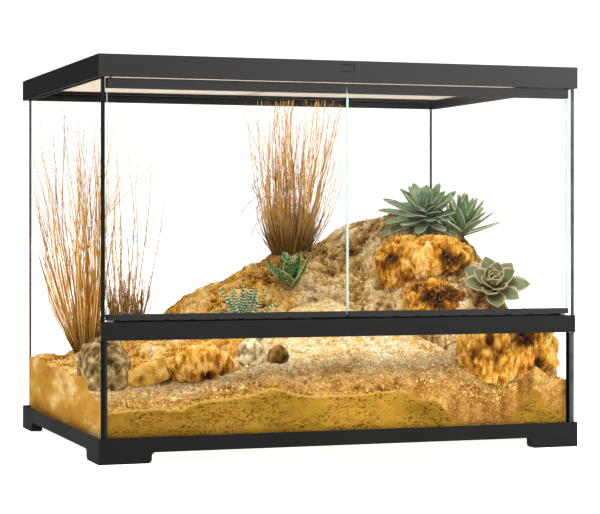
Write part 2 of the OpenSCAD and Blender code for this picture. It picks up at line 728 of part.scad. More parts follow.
module hinge_pins(side) {
    low = rail_top - pin_in_rail;
    high = glass_high + 0.4;
    color(steel) door_side(side) {
        translate([-hinge_x, hinge_y, low]) cylinder(r = pin_r, h = glass_low - 0.4 - low);
        translate([-hinge_x, hinge_y, high]) cylinder(r = pin_r, h = header_z + pin_in_header - high);
    }
}

// ---- Landscape ----

module sand_solid() {
    land_solid(sand_nu, sand_nv, [for (j = [0:sand_nv]) for (i = [0:sand_nu])
        let (u = -1 + 2 * i / sand_nu, v = lookup(u, sand_edge) * j / sand_nv)
        [land_x(u), land_y(v), sand_height(u, v)]]);
}

module mound_solid() {
    land_solid(mound_nu, mound_nv, [for (j = [0:mound_nv]) for (i = [0:mound_nu])
        let (u = -1 + 2 * i / mound_nu, v = mix(lookup(u, sand_edge), 1, j / mound_nv))
        [land_x(u), land_y(v), mound_height(u, v)]]);
}

// Room left by the silicone fillets in the four corners
module seam_room() {
    reach = max(fillet, rear_fillet) + joint_w + 0.6;
    for (x = [-1, 1]) for (y = [-1, 1]) translate([x * inner_x, y * inner_y, 0]) rotate([0, 0, 45])
        cube([reach * 1.42, reach * 1.42, 3 * frame_h], center = true);
}

// Makes one mesh of a grown or weathered shape, at its own size
module one_mesh() {
    resize([0, 0, 0]) children();
}

module sand_bed() {
    color([0.87, 0.72, 0.45]) one_mesh() difference() {
        sand_solid();
        seam_room();
    }
}

module clay_mound() {
    color([0.72, 0.5, 0.22]) one_mesh() difference() {
        mound_solid();
        seam_room();
    }
}

module ground() {
    sand_solid();
    mound_solid();
}

// Room that planting and stones may fill, clear of the glass
module inside() {
    clear = 1;
    translate([-inner_x + clear, -inner_y + clear, floor_z])
        cube([2 * (inner_x - clear), 2 * (inner_y - clear), pane_top - floor_z - 4]);
}

module bark_lumps() {
    lump(on_ground(.468, .395, 6), [34, 30, 36], 1, 0.13);
    lump(on_ground(.62, .355, 2), [48, 38, 30], 2, 0.12);
    lump(on_ground(.56, .27, -2), [44, 28, 24], 9, 0.12);
    lump(on_ground(.71, .1, 6), [46, 34, 54], 3, 0.1);
    lump(on_ground(.87, .085, 6), [38, 30, 54], 4, 0.1);
    lump(on_ground(-.53, .19, 8), [43, 28, 30], 8, 0.1);
}

module cork_bark() {
    color([0.55, 0.36, 0.14]) one_mesh() intersection() {
        difference() {
            bark_lumps();
            ground();
        }
        inside();
    }
}

module boulder_lump() {
    lump(on_ground(-.915, .26, 9), boulder_r * [0.85, 1.15, 1.05], 5, 0.08);
}

module slab() {
    translate(on_ground(-.75, .19, -2)) rotate([4, -21, -22])
        linear_extrude(26) polygon([[-28, -13], [2, -15], [27, -13], [30, 8], [6, 17], [-25, 13]]);
}

module pale_lump() {
    lump(on_ground(-.31, .185, 9), [17.5, 16, 20], 6, 0.06);
}

module dark_lump() {
    lump(on_ground(-.205, .17, 6), [12.5, 12, 13], 7, 0.08);
}

module all_stones() {
    boulder_lump();
    slab();
    pale_lump();
    dark_lump();
}

module stone(tint) {
    color(tint) one_mesh() intersection() {
        difference() {
            children();
            ground();
        }
        inside();
    }
}

module boulder() {
    stone([0.5, 0.46, 0.3]) boulder_lump();
}

module flat_stone() {
    stone([0.76, 0.62, 0.36]) difference() {
        slab();
        boulder_lump();
        bark_lumps();
    }
}

module pale_stone() {
    stone([0.78, 0.76, 0.7]) difference() {
        pale_lump();
        bark_lumps();
    }
}

module dark_stone() {
    stone([0.42, 0.34, 0.24]) difference() {
        dark_lump();
        pale_lump();
    }
}

// The grey rosette faces the viewer and hangs over its pot
rosette_tilt = [50, 0, -19];
pot_h = 34;
pot_wall = 3.5;
function rosette_base() = on_ground(.815, .24, 20);
function pot_top() = on_ground(.893, .22, 11);

module pot_shape() {
    translate(pot_top() - [0, 0, pot_h]) cylinder(r1 = 0.78 * pot_r, r2 = pot_r, h = pot_h);
}

module clay_pot() {
    color([0.72, 0.4, 0.2]) one_mesh() difference() {
        pot_shape();
        translate(pot_top() - [0, 0, 10]) cylinder(r = pot_r - pot_wall, h = 12);
        ground();
        bark_lumps();
    }
}

module planted() {
    one_mesh() intersection() {
        difference() {
            children();
            ground();
            bark_lumps();
            all_stones();
        }
        inside();
    }
}

module agave_leaves() {
    rosette(on_ground(.64, .47, 8), 34, agave_leaf, -6, 74, -10, [[0, 9], [.35, 13], [.8, 8], [1, 2]],
        [[0, 5], [.6, 3.4], [1, 1]], [-6, -20]);
}

module agave_large() {
    color([0.3, 0.42, 0.32]) planted() agave_leaves();
}

module agave_small() {
    color([0.3, 0.43, 0.33]) one_mesh() difference() {
        planted() rosette(on_ground(.81, .45, 10), 16, offset_leaf, 24, 80, -10, [[0, 7], [.4, 9], [1, 2]],
            [[0, 4.4], [1, 1]]);
        agave_leaves();
    }
}

module grey_rosette() {
    color([0.55, 0.62, 0.52]) one_mesh() intersection() {
        difference() {
            translate(rosette_base()) rotate(rosette_tilt)
                rosette([0, 0, 0], 20, rosette_r, 4, 76, 22, [[0, 9], [.45, 24], [.8, 20], [1, 3]],
                    [[0, 5], [.6, 4.5], [1, 1.5]]);
            pot_shape();
            ground();
            bark_lumps();
            agave_leaves();
        }
        inside();
    }
}

module zebra_plant() {
    color([0.25, 0.42, 0.22]) planted() rosette(on_ground(-.22, .42, 2), 15, zebra_leaf, 34, 82, 8,
        [[0, 9], [.3, 9], [1, 1.5]], [[0, 6], [.5, 4.5], [1, 1]]);
}

module spotted_plant() {
    color([0.22, 0.42, 0.18]) planted() rosette(on_ground(.03, .53, 4), 13, spotted_leaf, 18, 76, 12,
        [[0, 11], [.4, 15], [.8, 11], [1, 2]], [[0, 7], [.6, 5], [1, 1]]);
}

module grass_tuft_left() {
    color([0.8, 0.6, 0.28]) planted() {
        grass_tuft(on_ground(-.8, .82), 18, 15, left_tuft_h, stalk_n - 12, 20, 1, -4);
        grass_tuft(on_ground(-.6, .86), 15, 20, 0.8 * left_tuft_h, 12, 20, 3);
    }
}

module grass_tuft_centre() {
    color([0.78, 0.56, 0.25]) planted() grass_tuft(on_ground(.1, .68), 24, 24, centre_tuft_h, stalk_n, 46, 2);
}

base_frame();
bottom_pane();
side_pane(-1);  // left_pane
side_pane(1);  // right_pane
back_pane();
front_pane();
silicone_seams();
vent_rail();
vent_gauze();
catch_plates();
hinge_washers();
top_rim();
release_button();
cover_frame();
cover_latch();
cover_screen();
door_glass(-1);  // left_door_glass
door_top_rail(-1);  // left_door_top_rail
door_bottom_rail(-1);  // left_door_bottom_rail
hinge_pins(-1);  // left_hinge_pins
door_magnet(-1);  // left_door_magnet
door_glass(1);  // right_door_glass
door_top_rail(1);  // right_door_top_rail
door_bottom_rail(1);  // right_door_bottom_rail
hinge_pins(1);  // right_hinge_pins
door_magnet(1);  // right_door_magnet
cable_gate(0);  // cable_gate_1
cable_gate(1);  // cable_gate_2
cable_gate(2);  // cable_gate_3
cable_gate(3);  // cable_gate_4
sand_bed();
clay_mound();
cork_bark();
boulder();
flat_stone();
pale_stone();
dark_stone();
clay_pot();
agave_large();
agave_small();
grey_rosette();
zebra_plant();
spotted_plant();
grass_tuft_left();
grass_tuft_centre();
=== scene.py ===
import math
from itertools import product

import bpy
import numpy as np
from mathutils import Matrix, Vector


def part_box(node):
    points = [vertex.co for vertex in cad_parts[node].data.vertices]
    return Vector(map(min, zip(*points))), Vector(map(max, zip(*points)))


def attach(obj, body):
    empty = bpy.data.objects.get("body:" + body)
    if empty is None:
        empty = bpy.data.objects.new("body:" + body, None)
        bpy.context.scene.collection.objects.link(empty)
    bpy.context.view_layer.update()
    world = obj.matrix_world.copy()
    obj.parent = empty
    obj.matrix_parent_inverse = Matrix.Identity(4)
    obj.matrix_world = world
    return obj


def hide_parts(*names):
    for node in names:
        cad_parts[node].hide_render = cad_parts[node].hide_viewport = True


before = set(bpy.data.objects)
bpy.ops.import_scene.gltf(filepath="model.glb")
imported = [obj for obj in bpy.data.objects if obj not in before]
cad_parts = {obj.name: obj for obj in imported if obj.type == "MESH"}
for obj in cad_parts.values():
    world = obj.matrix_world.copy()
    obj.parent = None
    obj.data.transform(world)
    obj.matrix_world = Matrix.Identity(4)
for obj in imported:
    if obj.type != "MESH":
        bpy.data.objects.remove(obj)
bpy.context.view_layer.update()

# Shapes are worked out in millimetres, in the frame's own axes; addPiece turns them into metres.
mm = 0.001
goldenAngle = 137.508


def cadCorners(node):
    # lowest and highest corner of a CAD node, in millimetres
    low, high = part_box(node)
    return np.array(low) / mm, np.array(high) / mm


# camera, light, floor

cameraSet = {
    "position": (-0.8019, -2.3957, 0.2672),
    "turn": -19.0624,          # degrees to the right of straight at the doors
    "focal": 1964.9,           # focal length in pixels of the photograph
    "width": 600, "height": 514, "sensor": 36,
    "axisX": 306.6, "axisY": 228.6,   # where the lens axis meets the picture
}


def makeCamera():
    data = bpy.data.cameras.new("camera")
    data.sensor_width = cameraSet["sensor"]
    data.lens = cameraSet["focal"] * data.sensor_width / cameraSet["width"]
    data.shift_x = (cameraSet["width"] / 2 - cameraSet["axisX"]) / cameraSet["width"]
    data.shift_y = (cameraSet["axisY"] - cameraSet["height"] / 2) / cameraSet["width"]
    data.clip_end = 200
    camera = bpy.data.objects.new("camera", data)
    camera.location = cameraSet["position"]
    camera.rotation_euler = (math.radians(90), 0, math.radians(cameraSet["turn"]))
    bpy.context.collection.objects.link(camera)
    bpy.context.scene.camera = camera


def rgb(code):
    # sRGB hex to linear red, green, blue and 1
    parts = [int(code[k:k + 2], 16) / 255 for k in (1, 3, 5)]
    return [c / 12.92 if c <= 0.04045 else ((c + 0.055) / 1.055) ** 2.4 for c in parts] + [1]


def setInputs(node, values):
    # values by socket name, or in the order of the node's own sockets; a colour is a hex code,
    # and a node stands for its first output
    for name, value in values.items() if isinstance(values, dict) else enumerate(values):
        if isinstance(value, bpy.types.Node):
            value = value.outputs[0]
        if isinstance(value, bpy.types.NodeSocket):
            node.id_data.links.new(value, node.inputs[name])
        else:
            node.inputs[name].default_value = rgb(value) if isinstance(value, str) else value


def addNode(tree, kind, inputs=(), stops=(), **settings):
    # one shader node with its settings, its values or links, and a ramp's stops
    node = tree.nodes.new("ShaderNode" + kind)
    for name, value in settings.items():
        setattr(node, name, value)
    setInputs(node, inputs)
    if stops:
        elements = node.color_ramp.elements
        elements.remove(elements[1])
        elements[0].position, elements[0].color = stops[0][0], rgb(stops[0][1])
        for place, code in stops[1:]:
            elements.new(place).color = rgb(code)
    return node


studio = {
    # size in metres, power in watts and place of each lamp, and the point they look at
    "lamps": {"key": ((1.3, 1.0), 62, (-0.95, -1.75, 2.05)), "top": ((1.2, 1.0), 26, (0.35, -0.1, 1.9)),
              "fill": ((0.9, 1.3), 8, (2.3, -1.3, 0.7))},
    "aim": (0, 0, 0.22), "lampColour": (1, 0.985, 0.955), "lampGloss": 0.35,
    # the backdrop's levels: each eases from one to another as the direction turns along an axis
    "slopes": {"right": ("X", 0.2, 0.72, 0.05, 0.8), "rear": ("Y", -0.5, 0.4, 0, 0.6),
               "above": ("Z", 0.1, 0.9, 0, 0.55), "card": ("X", 0.14, 0.52, 0.35, 3.6),
               "cardRear": ("Y", -0.3, 0.7, 1, 0.16)},
    "backdrop": 1.25, "floorSize": 60, "floorGlow": 0.55, "floorSeen": 0.9,
    "floorMirrored": (0.22, 0.55),    # as shiny plastic mirrors the floor, at the left and the right
}


def makeLights():
    world = bpy.data.worlds.new("studio")
    bpy.context.scene.world = world
    world.use_nodes = True
    tree = world.node_tree
    tree.nodes.clear()
    axes = addNode(tree, "SeparateXYZ", [addNode(tree, "TexCoord").outputs["Generated"]])
    level = {}
    for name, (axis, *ends) in studio["slopes"].items():
        level[name] = addNode(tree, "MapRange", [axes.outputs[axis], *ends], interpolation_type="SMOOTHSTEP")
    # the camera sees a white backdrop; what lights the object is dimmer in front and at the left
    light = addNode(tree, "Math", [level["right"], level["rear"]], operation="MAXIMUM")
    light = addNode(tree, "Math", [light, level["above"]], operation="ADD")
    # shiny parts mirror a dark room at the left and a bright card at the right
    card = addNode(tree, "Math", [level["card"], level["cardRear"]], operation="MULTIPLY")
    lit = addNode(tree, "Background", {"Color": "#fffdf8", "Strength": light})
    mirrored = addNode(tree, "Background", {"Color": "#fffdfa", "Strength": card})
    seen = addNode(tree, "Background", {"Color": "#ffffff", "Strength": studio["backdrop"]})
    ray = addNode(tree, "LightPath")
    mixed = addNode(tree, "MixShader", [ray.outputs["Is Glossy Ray"], lit, mirrored])
    mixed = addNode(tree, "MixShader", [ray.outputs["Is Camera Ray"], mixed, seen])
    addNode(tree, "OutputWorld", {"Surface": mixed})
    for name, (size, power, place) in studio["lamps"].items():
        data = bpy.data.lights.new(name, "AREA")
        data.shape = "RECTANGLE"
        data.size, data.size_y = size
        data.energy = power
        data.color = studio["lampColour"]
        data.specular_factor = studio["lampGloss"]
        lamp = bpy.data.objects.new(name, data)
        lamp.location = place
        aim = np.array(studio["aim"]) - np.array(place)
        lamp.rotation_euler = (math.atan2(math.hypot(aim[0], aim[1]), -aim[2]), 0,
                               math.atan2(-aim[0], aim[1]))
        bpy.context.collection.objects.link(lamp)
    bpy.context.scene.view_settings.view_transform = "Standard"
    bpy.context.scene.view_settings.look = "None"


def newMaterial(name, inputs):
    # a Principled surface with the given inputs, its tree and the piece's own coordinates
    material = bpy.data.materials.new(name)
    material.use_nodes = True
    tree = material.node_tree
    tree.nodes.clear()
    shader = addNode(tree, "BsdfPrincipled", inputs)
    addNode(tree, "OutputMaterial", {"Surface": shader})
    return material, tree, shader, addNode(tree, "TexCoord").outputs["Object"]


def makeFloor():
    # matt white vinyl lit from under: a pale sweep that runs into the backdrop
    material, tree, shader, coords = newMaterial("whiteVinyl", {"Roughness": 0.85,
                                                                "Emission Color": "#ffffff"})
    speck = addNode(tree, "TexNoise", {"Vector": coords, "Scale": 3.0, "Detail": 2.0})
    tint = addNode(tree, "ValToRGB", [speck], [(0.3, "#fafaf9"), (0.7, "#fdfdfc")])
    ray = addNode(tree, "LightPath")
    glow = addNode(tree, "MapRange", {"Value": ray.outputs["Is Camera Ray"], "To Min": studio["floorGlow"],
                                      "To Max": studio["floorSeen"]})
    setInputs(shader, {"Base Color": tint, "Emission Strength": glow})
    # as the shiny plastic mirrors it, it is dimmer, and least so at the right
    away = addNode(tree, "SeparateXYZ", [addNode(tree, "NewGeometry").outputs["Incoming"]])
    level = addNode(tree, "MapRange", [away.outputs["X"], -0.15, -0.5, *studio["floorMirrored"]])
    dim = addNode(tree, "Emission", {"Color": "#fffefa", "Strength": level})
    whole = addNode(tree, "MixShader", [ray.outputs["Is Glossy Ray"], shader, dim])
    setInputs(tree.nodes["Material Output"], {"Surface": whole})
    size = studio["floorSize"]
    mesh = bpy.data.meshes.new("floor")
    mesh.from_pydata([(-size, -size, 0), (size, -size, 0), (size, size, 0), (-size, size, 0)],
                     [], [(0, 1, 2, 3)])
    mesh.materials.append(material)
    floor = bpy.data.objects.new("floor", mesh)
    bpy.context.collection.objects.link(floor)


# surfaces

def valueNoise(points, seed):
    # random values at whole-number points, blended with 3t^2 - 2t^3; from -1 to 1
    cell = np.floor(points).astype(np.int64)
    part = points - cell
    ease = part * part * (3 - 2 * part)
    total = np.zeros(points.shape[:-1])
    for corner in product((0, 1), repeat=3):
        c = cell + np.array(corner)
        key = (c[..., 0] * 73856093) ^ (c[..., 1] * 19349663) ^ (c[..., 2] * 83492791) ^ (seed * 40503)
        key = (key ^ (key >> 13)) * 1274126177 & 0xFFFFFFFF
        key = ((key ^ (key >> 15)) * 2246822519) & 0xFFFFFFFF
        weight = np.prod(np.where(np.array(corner) == 1, ease, 1 - ease), axis=-1)
        total += weight * ((key ^ (key >> 16)) / 2 ** 31 - 1)
    return total


def layeredNoise(points, size, layers, seed, fade=0.5):
    # sum of noises, each half the size and fade times the height of the last; about -1 to 1
    total, height, most = 0, 1.0, 0
    for k in range(layers):
        total = total + height * valueNoise(points * (2 ** k / size) + 17.3 * k, seed + k)
        most += height
        height *= fade
    return total / most * 1.5


def ridges(points, size, layers, seed):
    # 1 along sharp crests, 0 in round hollows
    return 1 - np.clip(np.abs(layeredNoise(points, size, layers, seed)) * 1.6, 0, 1)


def gridFaces(rows, columns, ring=False, flip=False):
    # quads of a grid of rows by columns points; ring joins the last column to the first
    row = np.arange(rows - 1)[:, None] * columns
    column = np.arange(columns if ring else columns - 1)[None, :]
    ahead = (column + 1) % columns
    quads = np.stack([row + column, row + ahead, row + columns + ahead, row + columns + column], -1)
    quads = quads.reshape(-1, 4)
    return quads[:, ::-1] if flip else quads


def rodFaces(count, rows, sides, start=0):
    # closed rods made of rings of points: the quads round them and a face at either end
    shift = start + np.arange(count) * rows * sides
    quads = gridFaces(rows, sides, ring=True, flip=True)[None] + shift[:, None, None]
    low = np.arange(sides)[None] + shift[:, None]
    return [quads.reshape(-1, 4), low, (low + (rows - 1) * sides)[:, ::-1]]


def addPiece(name, points, faces, material, body="root", node=None, marks=None, smooth=True):
    # a mesh from points in millimetres and lists of faces; marks are values kept on its points
    mesh = bpy.data.meshes.new(name)
    flat = []
    for group in faces:
        flat.extend(np.asarray(group).tolist())
    mesh.from_pydata((np.asarray(points).reshape(-1, 3) * mm).tolist(), [], flat)
    for key, values in (marks or {}).items():
        values = np.asarray(values, dtype=np.float32)
        kind = "FLOAT" if values.ndim == 1 else "FLOAT_VECTOR"
        field = mesh.attributes.new(key, kind, "POINT")
        field.data.foreach_set("value" if values.ndim == 1 else "vector", values.ravel())
    mesh.shade_smooth() if smooth else mesh.shade_flat()
    mesh.materials.append(material)
    piece = bpy.data.objects.new(name, mesh)
    bpy.context.collection.objects.link(piece)
    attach(piece, body)
    if node:
        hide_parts(node)
    return piece


def weldPoles(piece):
    # makes one point of the ring of points at each pole
    weld = piece.modifiers.new("poles", "WELD")
    weld.merge_threshold = 2e-5


def turned(x, y, z):
    # a matrix that turns by x degrees about X, then y about Y, then z about Z
    whole = np.eye(3)
    for axis, angle in ((2, z), (1, y), (0, x)):
        one = np.eye(3)
        a, b = (axis + 1) % 3, (axis + 2) % 3
        one[a, a] = one[b, b] = np.cos(np.radians(angle))
        one[b, a] = np.sin(np.radians(angle))
        one[a, b] = -one[b, a]
        whole = whole @ one
    return whole


# the case: plastic, glass, steel

# sizes in millimetres
plasticSet = {"edgeRadius": 0.5, "edgeAngle": 40, "grainSize": 0.55, "grainHeight": 0.012}


def satinAbs(name, codes, roughness, mirror=0.5):
    # ABS moulded in a finely sparked tool: near black, with a broad soft sheen
    material, tree, shader, coords = newMaterial(name, {"Roughness": roughness, "Specular IOR Level": mirror})
    cloud = addNode(tree, "TexNoise", {"Vector": coords, "Scale": 9.0, "Detail": 3.0})
    tint = addNode(tree, "ValToRGB", [cloud], [(0.3, codes[0]), (0.7, codes[1])])
    wear = addNode(tree, "MapRange", [cloud, 0.3, 0.7, roughness - 0.03, roughness + 0.05])
    grain = addNode(tree, "TexNoise", {"Vector": coords, "Scale": 1 / (plasticSet["grainSize"] * mm),
                                       "Detail": 2.0})
    bump = addNode(tree, "Bump", {"Height": grain, "Strength": 0.6,
                                  "Distance": plasticSet["grainHeight"] * mm})
    setInputs(shader, {"Base Color": tint, "Roughness": wear, "Normal": bump})
    return material


glassSet = {"reflect": 0.004, "tint": "#ffffff", "arris": 2.6, "arrisHighlight": 0.75, "freeEdge": 6}


def floatGlass(name, thinAxis, edgeCodes, arris=None, bareRear=False):
    # clear float glass: the broad faces only pass light, the cut edges show its iron green in a tone given
    # for each pane; the doors' pale tone is painted highlight and the left pane's near-black tone painted
    # shade
    material, tree, shader, coords = newMaterial(name, {"Roughness": 0.25, "Specular IOR Level": 0.2})
    normal = addNode(tree, "SeparateXYZ", [addNode(tree, "TexCoord").outputs["Normal"]])
    place = addNode(tree, "SeparateXYZ", [coords])
    across = addNode(tree, "Math", [normal.outputs[thinAxis]], operation="ABSOLUTE")
    isFace = addNode(tree, "Math", [across, 0.5], operation="GREATER_THAN")
    if bareRear:
        # a side pane's rear edge lies on the back pane's joint, where only a thin line is seen
        rear = addNode(tree, "Math", [place.outputs["Y"], 0.0], operation="GREATER_THAN")
        isFace = addNode(tree, "Math", [isFace, rear], operation="MAXIMUM")
    streak = addNode(tree, "TexNoise", {"Vector": coords, "Scale": 60.0, "Detail": 2.0})
    tint = addNode(tree, "ValToRGB", [streak], [(0.3, edgeCodes[0]), (0.7, edgeCodes[1])])
    setInputs(shader, {"Base Color": tint})
    clear = addNode(tree, "BsdfTransparent", {"Color": glassSet["tint"]})
    shine = addNode(tree, "BsdfGlossy", {"Roughness": 0.01, "Color": "#ffffff"})
    pane = addNode(tree, "MixShader", [glassSet["reflect"], clear, shine])
    if arris:
        # the left door's free edge is lost behind the right door's, which stands nearer the light
        free = addNode(tree, "Math", [place.outputs["X"], 0.0, glassSet["freeEdge"] * mm],
                       operation="COMPARE")
        left = addNode(tree, "Math", [place.outputs["X"], 0.0], operation="LESS_THAN")
        lost = addNode(tree, "Math", [free, left], operation="MULTIPLY")
        isFace = addNode(tree, "Math", [isFace, lost], operation="MAXIMUM")
        # over its last millimetres by the free edge, the right door's face takes the pale edge tone: a
        # painted highlight along the ground corner
        near = addNode(tree, "Math", [place.outputs["X"], arris * mm / 2, arris * mm / 2],
                       operation="COMPARE")
        paintedGlint = addNode(tree, "Math", [near, glassSet["arrisHighlight"]], operation="MULTIPLY")
        pane = addNode(tree, "MixShader", [paintedGlint, pane, shader])
    whole = addNode(tree, "MixShader", [isFace, shader, pane])
    setInputs(tree.nodes["Material Output"], {"Surface": whole})
    return material


def plainFinish(name, codes, roughness, metallic=0.0, grain=0.4, height=0.01):
    # a plain rubber, nylon or metal finish: two close tones and a fine grain from its making
    material, tree, shader, coords = newMaterial(name, {"Roughness": roughness, "Metallic": metallic})
    cloud = addNode(tree, "TexNoise", {"Vector": coords, "Scale": 0.3 / (grain * mm), "Detail": 3.0})
    tint = addNode(tree, "ValToRGB", [cloud], [(0.3, codes[0]), (0.7, codes[1])])
    fine = addNode(tree, "TexNoise", {"Vector": coords, "Scale": 1 / (grain * mm), "Detail": 2.0})
    bump = addNode(tree, "Bump", {"Height": fine, "Strength": 0.4, "Distance": height * mm})
    setInputs(shader, {"Base Color": tint, "Normal": bump})
    return material


def curedSilicone():
    # black silicone; the thin rear seams let some of the backdrop through
    material = plainFinish("curedSilicone", ("#0b0b0b", "#121212"), 0.3, grain=2.0, height=0.05)
    tree = material.node_tree
    place = addNode(tree, "SeparateXYZ", [addNode(tree, "TexCoord").outputs["Object"]])
    rear = addNode(tree, "Math", [place.outputs["Y"], 0.0], operation="GREATER_THAN")
    part = addNode(tree, "Math", [rear, 0.3], operation="MULTIPLY")
    clear = addNode(tree, "BsdfTransparent", {"Color": "#f2e6e0"})
    thin = addNode(tree, "MixShader", [part, tree.nodes["Principled BSDF"], clear])
    setInputs(tree.nodes["Material Output"], {"Surface": thin})
    return material


def dressCase():
    # the looks of the CAD pieces, and a fine rounding on the parts in the rim's and the cover's plastic
    rimAbs = satinAbs("satinAbs", ("#0e0e0e", "#131312"), 0.3)
    coverAbs = satinAbs("coverAbs", ("#0c0c0c", "#101010"), 0.36)
    # the rail and the base are given darker tones than the rim and reflect less
    railAbs = satinAbs("railAbs", ("#080808", "#0c0c0b"), 0.38, 0.28)
    baseAbs = satinAbs("baseAbs", ("#0b0b0b", "#0f0f0e"), 0.34, 0.26)
    paneGlass = floatGlass("floatGlassFront", "Y", ("#3f5a50", "#58756a"))
    # the doors' edges take a pale tone: the glass's green lightened as painted highlight
    doorGlass = floatGlass("floatGlassDoors", "Y", ("#a9d2c8", "#c3e2da"), glassSet["arris"])
    drawnSteel = plainFinish("drawnSteel", ("#9b9a97", "#b5b4b0"), 0.3, 1.0)
    nickelPlate = plainFinish("nickelPlate", ("#8f8d88", "#a9a7a1"), 0.25, 1.0)
    looks = {
        "base_frame": baseAbs, "vent_rail": railAbs, "top_rim": rimAbs, "release_button": rimAbs,
        "cover_frame": coverAbs, "cover_latch": coverAbs, "back_pane": paneGlass, "front_pane": paneGlass,
        # the left pane's edges take a near-black tone: painted shade
        "left_pane": floatGlass("floatGlassLeft", "X", ("#060807", "#0c100f"), bareRear=True),
        "right_pane": floatGlass("floatGlassRight", "X", ("#2b3833", "#45564f"), bareRear=True),
        "bottom_pane": floatGlass("floatGlassFloor", "Z", ("#3f5a50", "#58756a")),
        "silicone_seams": curedSilicone(),
        "vent_gauze": plainFinish("wovenSteel", ("#6b6b69", "#8a8a87"), 0.38, 1.0, 0.6, 0.1),
        "catch_plates": plainFinish("zincSteel", ("#9a9c9e", "#b4b6b7"), 0.35, 1.0),
        "hinge_washers": plainFinish("naturalNylon", ("#e4e2da", "#efede6"), 0.4),
    }
    for number in range(1, 5):
        looks[f"cable_gate_{number}"] = rimAbs
    for side in ("left", "right"):
        looks[side + "_door_top_rail"] = looks[side + "_door_bottom_rail"] = coverAbs
        looks[side + "_door_glass"] = doorGlass
        looks[side + "_hinge_pins"] = drawnSteel
        looks[side + "_door_magnet"] = nickelPlate
    for node, look in looks.items():
        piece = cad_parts[node]
        piece.data.materials.clear()
        piece.data.materials.append(look)
        if look in (rimAbs, coverAbs):
            weld = piece.modifiers.new("weld", "WELD")
            weld.merge_threshold = 1e-6
            bevel = piece.modifiers.new("edges", "BEVEL")
            bevel.width = plasticSet["edgeRadius"] * mm
            bevel.segments = 2
            bevel.limit_method = "ANGLE"
            bevel.angle_limit = math.radians(plasticSet["edgeAngle"])
            bevel.use_clamp_overlap = True
    print("case dressed")


screenSet = {"pitch": 2.4, "wire": 0.55}


def bars(start, size):
    # closed boxes from their lowest corners and their sizes, both lists of xyz
    unit = np.array(list(product((0, 1), repeat=3)))
    corners = start[:, None, :] + unit[None] * size[:, None, :]
    quads = np.array([[0, 1, 3, 2], [4, 6, 7, 5], [0, 4, 5, 1], [2, 3, 7, 6], [0, 2, 6, 4], [1, 5, 7, 3]])
    faces = (np.arange(len(start))[:, None, None] * 8 + quads[None]).reshape(-1, 4)
    return corners.reshape(-1, 3), faces


def makeScreen():
    # plain-woven bronze-coated aluminium, drawn a little coarser than the real 1 mm weave
    low, high = cadCorners("cover_screen")
    wire = screenSet["wire"]
    runX = np.arange(low[0], high[0] - wire, screenSet["pitch"])
    runY = np.arange(low[1], high[1] - wire, screenSet["pitch"])
    warp = np.stack([runX, np.full(len(runX), low[1]), np.full(len(runX), low[2])], -1)
    weft = np.stack([np.full(len(runY), low[0]), runY, np.full(len(runY), low[2] + wire * 0.45)], -1)
    size = np.concatenate([np.tile([wire, high[1] - low[1], wire * 0.5], (len(runX), 1)),
                           np.tile([high[0] - low[0], wire, wire * 0.5], (len(runY), 1))])
    points, faces = bars(np.concatenate([warp, weft]), size)
    look = plainFinish("bronzeWire", ("#cfc3b2", "#e6dccd"), 0.45, 0.2, 0.5, 0.05)
    addPiece("screenWires", points, [faces], look, body="cover", node="cover_screen",
             smooth=False)
    print("screen woven")


# ground

sandLow, sandHigh = cadCorners("sand_bed")
innerX, innerY = sandHigh[0], -sandLow[1]
floorZ = sandLow[2]

# heights over the bottom pane, along the box from -1 at the left pane to 1 at the right
land = {
    "sandHeight": 46, "moundHeight": 268,
    "front": [(-1, -11), (-.88, -6), (-.7, -6), (-.61, 0), (-.4, 6), (-.32, 12), (-.28, 11), (-.2, 3), (0, 1),
              (.13, 5), (.23, 6), (.32, 3), (.42, -3), (.51, -10), (.61, -17), (.7, -5), (.75, 6), (.8, 18),
              (.855, 28), (.9, 17), (1, 13)],
    "sandEdge": [(-1, .2), (-.68, .21), (-.41, .27), (-.2, .36), (0, .48), (.2, .52), (.41, .36),
                 (.52, .15), (.68, .07), (1, .07)],
    "edge": [(-1, 53), (-.68, 62), (-.41, 78), (-.2, 103), (0, 143), (.2, 153), (.41, 123), (.52, 93),
             (.6, 78), (.68, 58), (.76, 55), (.83, 62), (.93, 68), (1, 62)],
    "ridgeEdge": [(-1, .85), (-.5, .76), (0, .69), (.34, .62), (.68, .53), (1, .46)],
    "ridge": [(-1, -195), (-.68, -180), (-.52, -144), (-.23, -96), (0, -65), (.2, -46), (.32, -28),
              (.42, -14), (.54, -3), (.65, -6), (.8, -26), (.9, -72), (1, -158)],
    "back": [(-1, 70), (-.5, 90), (0, 130), (.5, 160), (.85, 150), (1, 80)],
    "rise": 9, "sandWaves": 1.2, "moundWaves": 4.5, "columns": 400, "sandRows": 160, "moundRows": 220,
    "paneTouch": 0.25,    # what comes this near a pane lies on it
    # middles and radii of the crease down the hill's face, dug in and darkened with painted shade
    "creases": [(105, -50, 236, 8), (105, -52, 225, 8), (105, -52, 214, 8), (109, -45, 204, 8),
                (114, -32, 195, 8)],
}


def along(key, u):
    # a height or an edge read from the land's own tables
    places, values = np.array(land[key]).T
    return np.interp(u, places, values)


def eased(t):
    # from 0 to 1 without a corner: 3t^2 - 2t^3
    t = np.clip(t, 0, 1)
    return t * t * (3 - 2 * t)


def ripple(u, v):
    # slow waves over the ground, from sums of sines
    a = np.radians
    return (np.sin(a(530 * u + 310 * v)) * np.cos(a(290 * v - 410 * u))
            + 0.5 * np.sin(a(1130 * v - 870 * u)) + 0.35 * np.cos(a(1750 * u + 1320 * v)))


def sandShape(u, v):
    # from the height at the front glass, easing to the height at the hill's foot, with waves over it
    start = land["sandHeight"] + along("front", u)
    blend = eased(0.5 + 0.5 * v / along("sandEdge", u)) * 2 - 1
    return floorZ + start + (along("edge", u) - start) * blend + land["sandWaves"] * ripple(u, v)


